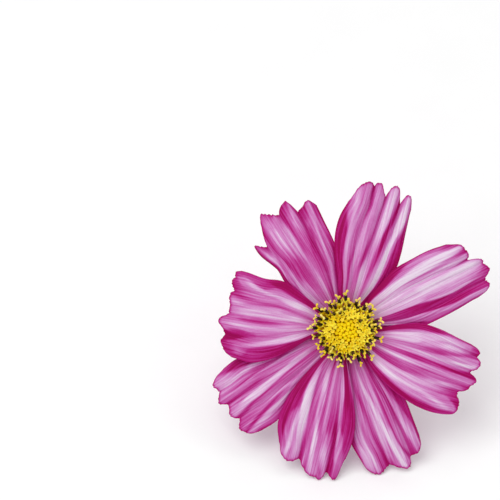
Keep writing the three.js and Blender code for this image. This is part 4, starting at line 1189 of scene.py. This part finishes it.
def floret_place(n, size=1.0, sunk=0.0, turn=0.0):
    """Where floret n stands on the dome, leaning out more the further from the middle it is."""
    r = FLORET_SPACING * math.sqrt(n + 0.5)
    lean = LEAN_MIDDLE + (LEAN_EDGE - LEAN_MIDDLE) * (n / FLORETS) ** LEAN_BOW
    lean += LEAN_UNEVEN[0] * random_number(n, "lean")
    if n >= OPEN:
        lean += LEAN_OUTERMOST + LEAN_UNEVEN[1] * random_number(n, "outer lean")
    sideways = SIDEWAYS_UNEVEN * random_number(n, "sideways lean")
    return (
        Matrix.Rotation(math.radians(n * GOLDEN_ANGLE), 4, "Z")
        @ Matrix.Translation(Vector((r, 0, dome(r) - sunk)) * MM)
        @ Matrix.Rotation(math.radians(lean), 4, "Y")
        @ Matrix.Rotation(math.radians(sideways), 4, "X")
        @ Matrix.Rotation(turn, 4, "Z")
        @ Matrix.Scale(size, 4)
    )


def make_receptacle(material):
    """The dome that carries the florets and the bowl under it."""

    def place(turn, w):
        angle = math.pi / 2 * (1 - 2 * w)
        wall, height = DISC_WALL * np.cos(angle), np.sin(angle)
        above = DISC_BRIM + (DISC_CROWN - DISC_BRIM) * height
        below = DISC_BELLY + (DISC_BELLY - DISC_FLOOR) * height
        return np.cos(turn) * wall, np.sin(turn) * wall, np.where(w <= 0.5, above, below)

    thing = rolled("receptacle", *RECEPTACLE_GRID, place)
    mark_height(thing)
    finish_piece(thing, material, "disc")


def make_buds(material):
    """Closed florets: round heads with five faint seams."""
    size, uneven = BUD_SIZE
    places = []
    for n in range(BUDS):
        own_size = size + BUD_GROWTH * n + uneven * random_number(n, "size")
        places.append(floret_place(n, own_size, BUD_SUNK, random_number(n, "turn") * math.pi))
    buds = copies(lathe("bud", FLORET_SIDES, *BUD), "floret_buds", places)
    finish_piece(buds, material, "disc", crease=80)


def make_open_florets(material):
    """Open florets: tubes that part, and further out flare, into five pointed lobes round a throat."""
    size, uneven = OPEN_SIZE
    made = []
    for shape, numbers in ((PARTING_FLORET, range(BUDS, PARTING)), (OPEN_FLORET, range(PARTING, FLORETS))):
        places = []
        for n in numbers:
            turn = OPEN_TURN * random_number(n, "turn")
            place = floret_place(n, size + uneven * random_number(n, "size"), OPEN_SUNK, turn)
            places.append(place @ Matrix.Scale(length_of(n), 4, (0, 0, 1)))
        made.append(copies(lathe("open", FLORET_SIDES, *shape), "open_florets", places))
    finish_piece(join("open_florets", made), material, "disc", crease=80)


def length_of(n):
    """How many times its length in the middle of the disc a floret has: more towards the margin."""
    return 1 + LENGTH_GAIN * smooth(n, PARTING, FLORETS) + LENGTH_UNEVEN * random_number(n, "length")


def anther_numbers():
    """The florets that have anthers."""
    return [*EARLY, *range(OPEN, FLORETS)]


def anther_height(n):
    """How far the tube of anthers stands out of floret n."""
    early, first, last = ANTHERS_OUT
    height = early if n < OPEN else first + (last - first) * smooth(n, OPEN, FLORETS)
    return height + ANTHERS_UNEVEN * random_number(n, "anther height")


def raised(n, height):
    """The place of floret n, at a height out of it."""
    return floret_place(n) @ Matrix.Translation((0, 0, height * MM))


def make_anthers(material):
    """Five anthers joined in a grooved tube, with pointed tips."""
    places = [raised(n, anther_height(n) - TUBE_TOP) for n in anther_numbers()]
    tubes = copies(lathe("tube", FLORET_SIDES, *ANTHER_TUBE), "anther_tubes", places)
    finish_piece(tubes, material, "disc", crease=80)


def small_tube(name, path, radii, rings):
    """A part of a style: a tube with a radius at each point of its path."""
    stations = np.linspace(0, 1, len(path))
    thing = swept(name, STYLE_SIDES, rings, stations, path, lambda turn, far: along(stations, radii, far))
    mark(thing, "height", STYLE_TONE)
    return thing


def make_styles(material):
    """Forked styles that stand out of the anthers, with two arms that curl back and end in knobs."""
    path, radii, rings = ARM
    mirrored = [(-x, y, z) for x, y, z in path]
    parts = [small_tube("stalk", *STALK), small_tube("arm", mirrored, radii, rings), small_tube("arm", *ARM)]
    size, uneven = STYLE_SIZE
    places = []
    for n in anther_numbers():
        if n < OPEN and random_number(n, "early style") > EARLY_STYLES:
            continue
        turn = Matrix.Rotation(math.pi * random_number(n, "style turn"), 4, "Z")
        own_size = Matrix.Scale(size + uneven * random_number(n, "style size"), 4)
        height = anther_height(n) + STYLE_UNEVEN * random_number(n, "style height")
        places.append(raised(n, height) @ turn @ own_size)
    styles = copies(join("style", parts), "forked_styles", places)
    finish_piece(styles, material, "disc", crease=80)


# ---------------------------------------------------------------- bracts and stem


def make_inner_bract(k):
    """A broad bract: its foot is part of a bowl under the receptacle, and its point flares out behind the
    petals."""
    lift = CUP_LAP * (k % 2)
    reach = CUP_REACH[0] + CUP_REACH[1] * random_number(k, "cup reach")
    floor = DISC_FLOOR - CUP_GAP - lift

    def place(u, w):
        side = 2 * u - 1
        bowl = np.clip(w / CUP_BOWL, 0, 1)
        flare = np.clip((w - CUP_BOWL) / (1 - CUP_BOWL), 0, 1)
        turn = np.radians(CUP_TURN * (1 - bowl))
        r = (CUP_WALL + lift) * np.cos(turn) + (reach - CUP_WALL) * flare
        z = DISC_BELLY + (floor - DISC_BELLY) * np.sin(turn)
        z = z + (CUP_FLARE - DISC_BELLY) * smooth(bowl, 0.5, 1) + (CUP_TIP - CUP_FLARE - lift) * flare
        point = (1 - flare ** CUP_POINT[0]) ** CUP_POINT[1]
        width = np.radians(CUP_HALF_ANGLE) * point * (CUP_NARROW + (1 - CUP_NARROW) * smooth(w, 0, 0.35))
        curl = CUP_EDGE_CURL * flare * side**2
        midrib = CUP_MIDRIB * np.cos(side * math.pi) * smooth(flare, 0, 0.4)
        angle = side * width + 2 * math.pi * k / BRACTS
        return r * np.cos(angle), r * np.sin(angle), z + curl - midrib

    thing = sheet(f"bract_{k}", *CUP_GRID, place)
    u, w = sheet_points(*CUP_GRID)
    mark(thing, "margin", smooth(np.abs(2 * u - 1), *CUP_MARGIN) * smooth(w, *CUP_MARGIN_START))
    mark(thing, "foot", 1 - smooth(w, *CUP_FOOT))
    mark(thing, "strand", k * CUP_STRANDS)
    thicken(thing, CUP_BLADE * MM)
    return thing


def make_inner_bracts(material):
    """Eight broad bracts, each over the margins of the next, that cup the receptacle."""
    cup = join("inner_bract_cup", [make_inner_bract(k) for k in range(BRACTS)])
    finish_piece(cup, material, "inner_bracts")


def make_outer_bract(k):
    """A narrow keeled bract that tapers to a point."""
    toward = k * 360 / BRACTS + RUFF_TURN
    reach = RUFF_REACH[0] + RUFF_REACH[1] * random_number(k, "ruff reach")
    lift = RUFF_LIFT * random_number(k, "ruff lift")
    start, span = RUFF_TAPER
    outline, section = RUFF_FULLNESS

    def place(turn, w):
        side = np.cos(turn)
        taper = np.where(w > 0, np.sin(math.pi * (start + span * w)) ** outline, 0)
        r = RUFF_ROOT + (reach - RUFF_ROOT) * w
        spine = RUFF_MIDDLE - RUFF_DROOP * w**2 + lift * w
        keel = RUFF_KEEL * np.abs(side * taper) ** 1.5 * smooth(w, 0.1, 0.5)
        x, y = turned(r, side * taper * RUFF_WIDTH / 2, toward)
        return x, y, spine + keel + np.sin(turn) * taper**section * RUFF_THICK / 2

    leaf = rolled(f"leaf_{k}", *RUFF_GRID, place)
    x, y, _ = points_of(leaf).T
    x, y = turned(x, y, -toward)
    mark(leaf, "rib", np.exp(-((y / RIB_WIDTH) ** 2)) * smooth(x, *RIB_START))
    mark(leaf, "strand", k * RUFF_STRANDS)
    return leaf


def make_outer_bracts(material):
    """Eight narrow bracts round a hub that holds the cup and sits on the stem."""
    made = [make_outer_bract(k) for k in range(BRACTS)]
    hub = lathe("hub", HUB_SIDES, HUB_PROFILE)
    mark(hub, "rib", 0)
    mark(hub, "strand", HUB_STRAND)
    made.append(hub)
    for thing in made:
        mark(thing, "cut", 0)
    finish_piece(join("outer_bract_ruff", made), material, "outer_bracts")


def make_stem(material):
    """The ribbed stem, from its flared top to its cut end."""
    stations = [0]
    for a, b in zip(STEM_PATH, STEM_PATH[1:]):
        stations.append(stations[-1] + math.dist(a, b))

    def radius_at(turn, far):
        flare = (1 - smooth(far, 0, STEM_COLLAR_LENGTH)) * (STEM_COLLAR - STEM_RADIUS)
        ribs = STEM_RIB_DEPTH * (np.cos(turn * STEM_RIBS + STEM_RIB_TWIST * far) - 1)
        return STEM_RADIUS + flare + ribs

    thing = swept("flower_stem", *STEM_GRID, stations, STEM_PATH, radius_at)
    from_end = np.linalg.norm(points_of(thing) - np.array(STEM_PATH[-1]), axis=1)
    mark(thing, "cut", from_end < STEM_RADIUS * STEM_CUT)
    mark(thing, "rib", 0)
    mark(thing, "strand", STEM_STRAND)
    finish_piece(thing, material, "stem", crease=35)


# ---------------------------------------------------------------- light and camera


def add_light(name, toward, away, side, watts):
    """A square soft light, in that direction from the flower in its head frame."""
    data = bpy.data.lights.new(name, "AREA")
    data.energy = watts
    data.size = side
    light = bpy.data.objects.new(name, data)
    bpy.context.scene.collection.objects.link(light)
    direction = (HEAD.to_3x3() @ Vector(toward)).normalized()
    light.location = HEAD.translation + direction * away
    light.rotation_euler = (-direction).to_track_quat("-Z", "Y").to_euler()


def add_world(strength):
    """White light from all round."""
    world = bpy.data.worlds.new("studio")
    world.use_nodes = True
    background = world.node_tree.nodes["Background"]
    background.inputs["Color"].default_value = (1, 1, 1, 1)
    background.inputs["Strength"].default_value = strength
    bpy.context.scene.world = world


def add_camera():
    """A camera that shows the photograph's whole frame at the flower's distance."""
    data = bpy.data.cameras.new("camera")
    data.sensor_width = SENSOR
    data.lens = SENSOR * CAMERA_AWAY / (PHOTO_SIDE * PHOTO_SCALE)
    data.clip_start, data.clip_end = CLIP
    camera = bpy.data.objects.new("camera", data)
    bpy.context.scene.collection.objects.link(camera)
    aside = (PHOTO_SIDE / 2 - FLOWER_PIXEL[0]) * PHOTO_SCALE
    above = (FLOWER_PIXEL[1] - PHOTO_SIDE / 2) * PHOTO_SCALE
    camera.matrix_world = HEAD @ Matrix.Translation(Vector((aside, above, CAMERA_AWAY)) * MM)
    bpy.context.scene.camera = camera


# ---------------------------------------------------------------- settings


def color_setting(name, description, default):
    """A colour that the panel shows."""
    return FloatVectorProperty(
        name=name, description=description, subtype="COLOR", default=default, min=0, max=1
    )


class CosmosPetalSettings(bpy.types.PropertyGroup):
    """Finish of the ray petals."""

    thickness: FloatProperty(
        name="Thickness", description="Thickness of a petal", default=BLADE * MM, min=0.0001, max=0.0007,
        precision=5, unit="LENGTH",
    )
    palest: color_setting("Palest stripe", "Colour of the palest stripes", srgb(228, 210, 228))
    darkest: color_setting("Darkest margin", "Colour of the darkest margins", srgb(150, 0, 80))


class CosmosDiscSettings(bpy.types.PropertyGroup):
    """Colours of the disc."""

    yellow: color_setting("Floret yellow", "Colour of the florets", srgb(238, 206, 6))


class CosmosGreenSettings(bpy.types.PropertyGroup):
    """Colours of the bracts and the stem."""

    inner_bracts: color_setting("Inner bracts", "Colour of the inner bracts", srgb(170, 164, 88))
    outer_bracts: color_setting("Outer bracts", "Colour of the outer bracts", srgb(78, 118, 44))
    stem: color_setting("Stem", "Colour of the stem", srgb(98, 138, 54))


class CosmosStageSettings(bpy.types.PropertyGroup):
    """Floor and light."""

    floor_color: color_setting("Floor", "Colour of the floor", (0.94, 0.94, 0.94))
    floor_side: FloatProperty(
        name="Floor side", description="Length of the floor's sides", default=6.0, min=1, unit="LENGTH"
    )
    key_watts: FloatProperty(
        name="Key light", description="Power of the key light", default=3.7, min=0, unit="POWER"
    )
    fill: FloatProperty(
        name="Fill light", description="Strength of the light from all round", default=0.68, min=0
    )


# ---------------------------------------------------------------- operators


class COSMOS_OT_petals(bpy.types.Operator):
    """Model the eight ray petals"""

    bl_idname = "cosmos.petals"
    bl_label = "Ray petals"

    def execute(self, context):
        settings = context.scene.cosmos_petals
        material = petal_material(tuple(settings.palest), tuple(settings.darkest))
        for number in range(1, len(PETALS) + 1):
            make_petal(number, material, settings.thickness)
        return {"FINISHED"}


class COSMOS_OT_disc(bpy.types.Operator):
    """Model the receptacle and its florets"""

    bl_idname = "cosmos.disc"
    bl_label = "Disc of florets"

    def execute(self, context):
        yellow = tuple(context.scene.cosmos_disc.yellow)
        make_receptacle(receptacle_material())
        # The bud and floret colours run from a painted shade at the foot, through the plain yellow, to a
        # painted highlight at the lobes.
        make_buds(floret_material("bud_yellow", srgb(204, 150, 0), yellow, srgb(250, 220, 20)))
        florets = floret_material("floret_yellow", srgb(220, 160, 0), yellow, srgb(254, 234, 76))
        make_open_florets(florets)
        make_anthers(anther_material())
        styles = floret_material("style_yellow", srgb(206, 150, 10), srgb(238, 208, 50), srgb(250, 232, 130))
        make_styles(styles)
        return {"FINISHED"}


class COSMOS_OT_inner_bracts(bpy.types.Operator):
    """Model the cup of inner bracts"""

    bl_idname = "cosmos.inner_bracts"
    bl_label = "Inner bracts"

    def execute(self, context):
        plain = tuple(context.scene.cosmos_green.inner_bracts)
        make_inner_bracts(inner_bract_material(plain))
        return {"FINISHED"}


class COSMOS_OT_outer_bracts(bpy.types.Operator):
    """Model the narrow outer bracts"""

    bl_idname = "cosmos.outer_bracts"
    bl_label = "Outer bracts"

    def execute(self, context):
        plain = tuple(context.scene.cosmos_green.outer_bracts)
        material = green_material("green_bract", srgb(44, 78, 26), plain, srgb(140, 168, 84), (14, 2, 1))
        make_outer_bracts(material)
        return {"FINISHED"}


class COSMOS_OT_stem(bpy.types.Operator):
    """Model the cut stem"""

    bl_idname = "cosmos.stem"
    bl_label = "Stem"

    def execute(self, context):
        plain = tuple(context.scene.cosmos_green.stem)
        material = green_material("stem_green", srgb(66, 98, 36), plain, srgb(152, 180, 92), (30, 5, 1))
        make_stem(material)
        return {"FINISHED"}


class COSMOS_OT_stage(bpy.types.Operator):
    """Set up the floor, the lights and the camera"""

    bl_idname = "cosmos.stage"
    bl_label = "Stage"

    def execute(self, context):
        settings = context.scene.cosmos_stage
        deselect()
        bpy.ops.mesh.primitive_plane_add(size=settings.floor_side)
        floor = context.active_object
        floor.name = "floor"
        floor.data.materials.append(floor_material(tuple(settings.floor_color)))
        for name, (toward, away, side, share) in LIGHTS.items():
            add_light(name, toward, away, side, settings.key_watts * share)
        add_world(settings.fill)
        add_camera()
        context.scene.view_settings.view_transform = "Standard"
        return {"FINISHED"}


class COSMOS_PT_panel(bpy.types.Panel):
    """Lists the settings and the steps that model the flower"""

    bl_label = "Cosmos Flower"
    bl_idname = "COSMOS_PT_panel"
    bl_space_type = "VIEW_3D"
    bl_region_type = "UI"
    bl_category = "Cosmos"

    def draw(self, context):
        for group in SETTINGS:
            settings = getattr(context.scene, group)
            for name in settings.__annotations__:
                self.layout.prop(settings, name)
        for operator in OPERATORS:
            self.layout.operator(operator.bl_idname)


OPERATORS = (
    COSMOS_OT_petals,
    COSMOS_OT_disc,
    COSMOS_OT_inner_bracts,
    COSMOS_OT_outer_bracts,
    COSMOS_OT_stem,
    COSMOS_OT_stage,
)
SETTINGS = {
    "cosmos_petals": CosmosPetalSettings,
    "cosmos_disc": CosmosDiscSettings,
    "cosmos_green": CosmosGreenSettings,
    "cosmos_stage": CosmosStageSettings,
}
CLASSES = (*SETTINGS.values(), *OPERATORS, COSMOS_PT_panel)


def register():
    for each in CLASSES:
        bpy.utils.register_class(each)
    for name, group in SETTINGS.items():
        setattr(bpy.types.Scene, name, PointerProperty(type=group))


def unregister():
    for name in SETTINGS:
        delattr(bpy.types.Scene, name)
    for each in reversed(CLASSES):
        bpy.utils.unregister_class(each)


def main():
    register()
    bpy.ops.cosmos.petals()
    bpy.ops.cosmos.disc()
    bpy.ops.cosmos.inner_bracts()
    bpy.ops.cosmos.outer_bracts()
    bpy.ops.cosmos.stem()
    bpy.ops.cosmos.stage()
    deselect()
    bpy.context.view_layer.update()


if __name__ == "__main__":
    main()
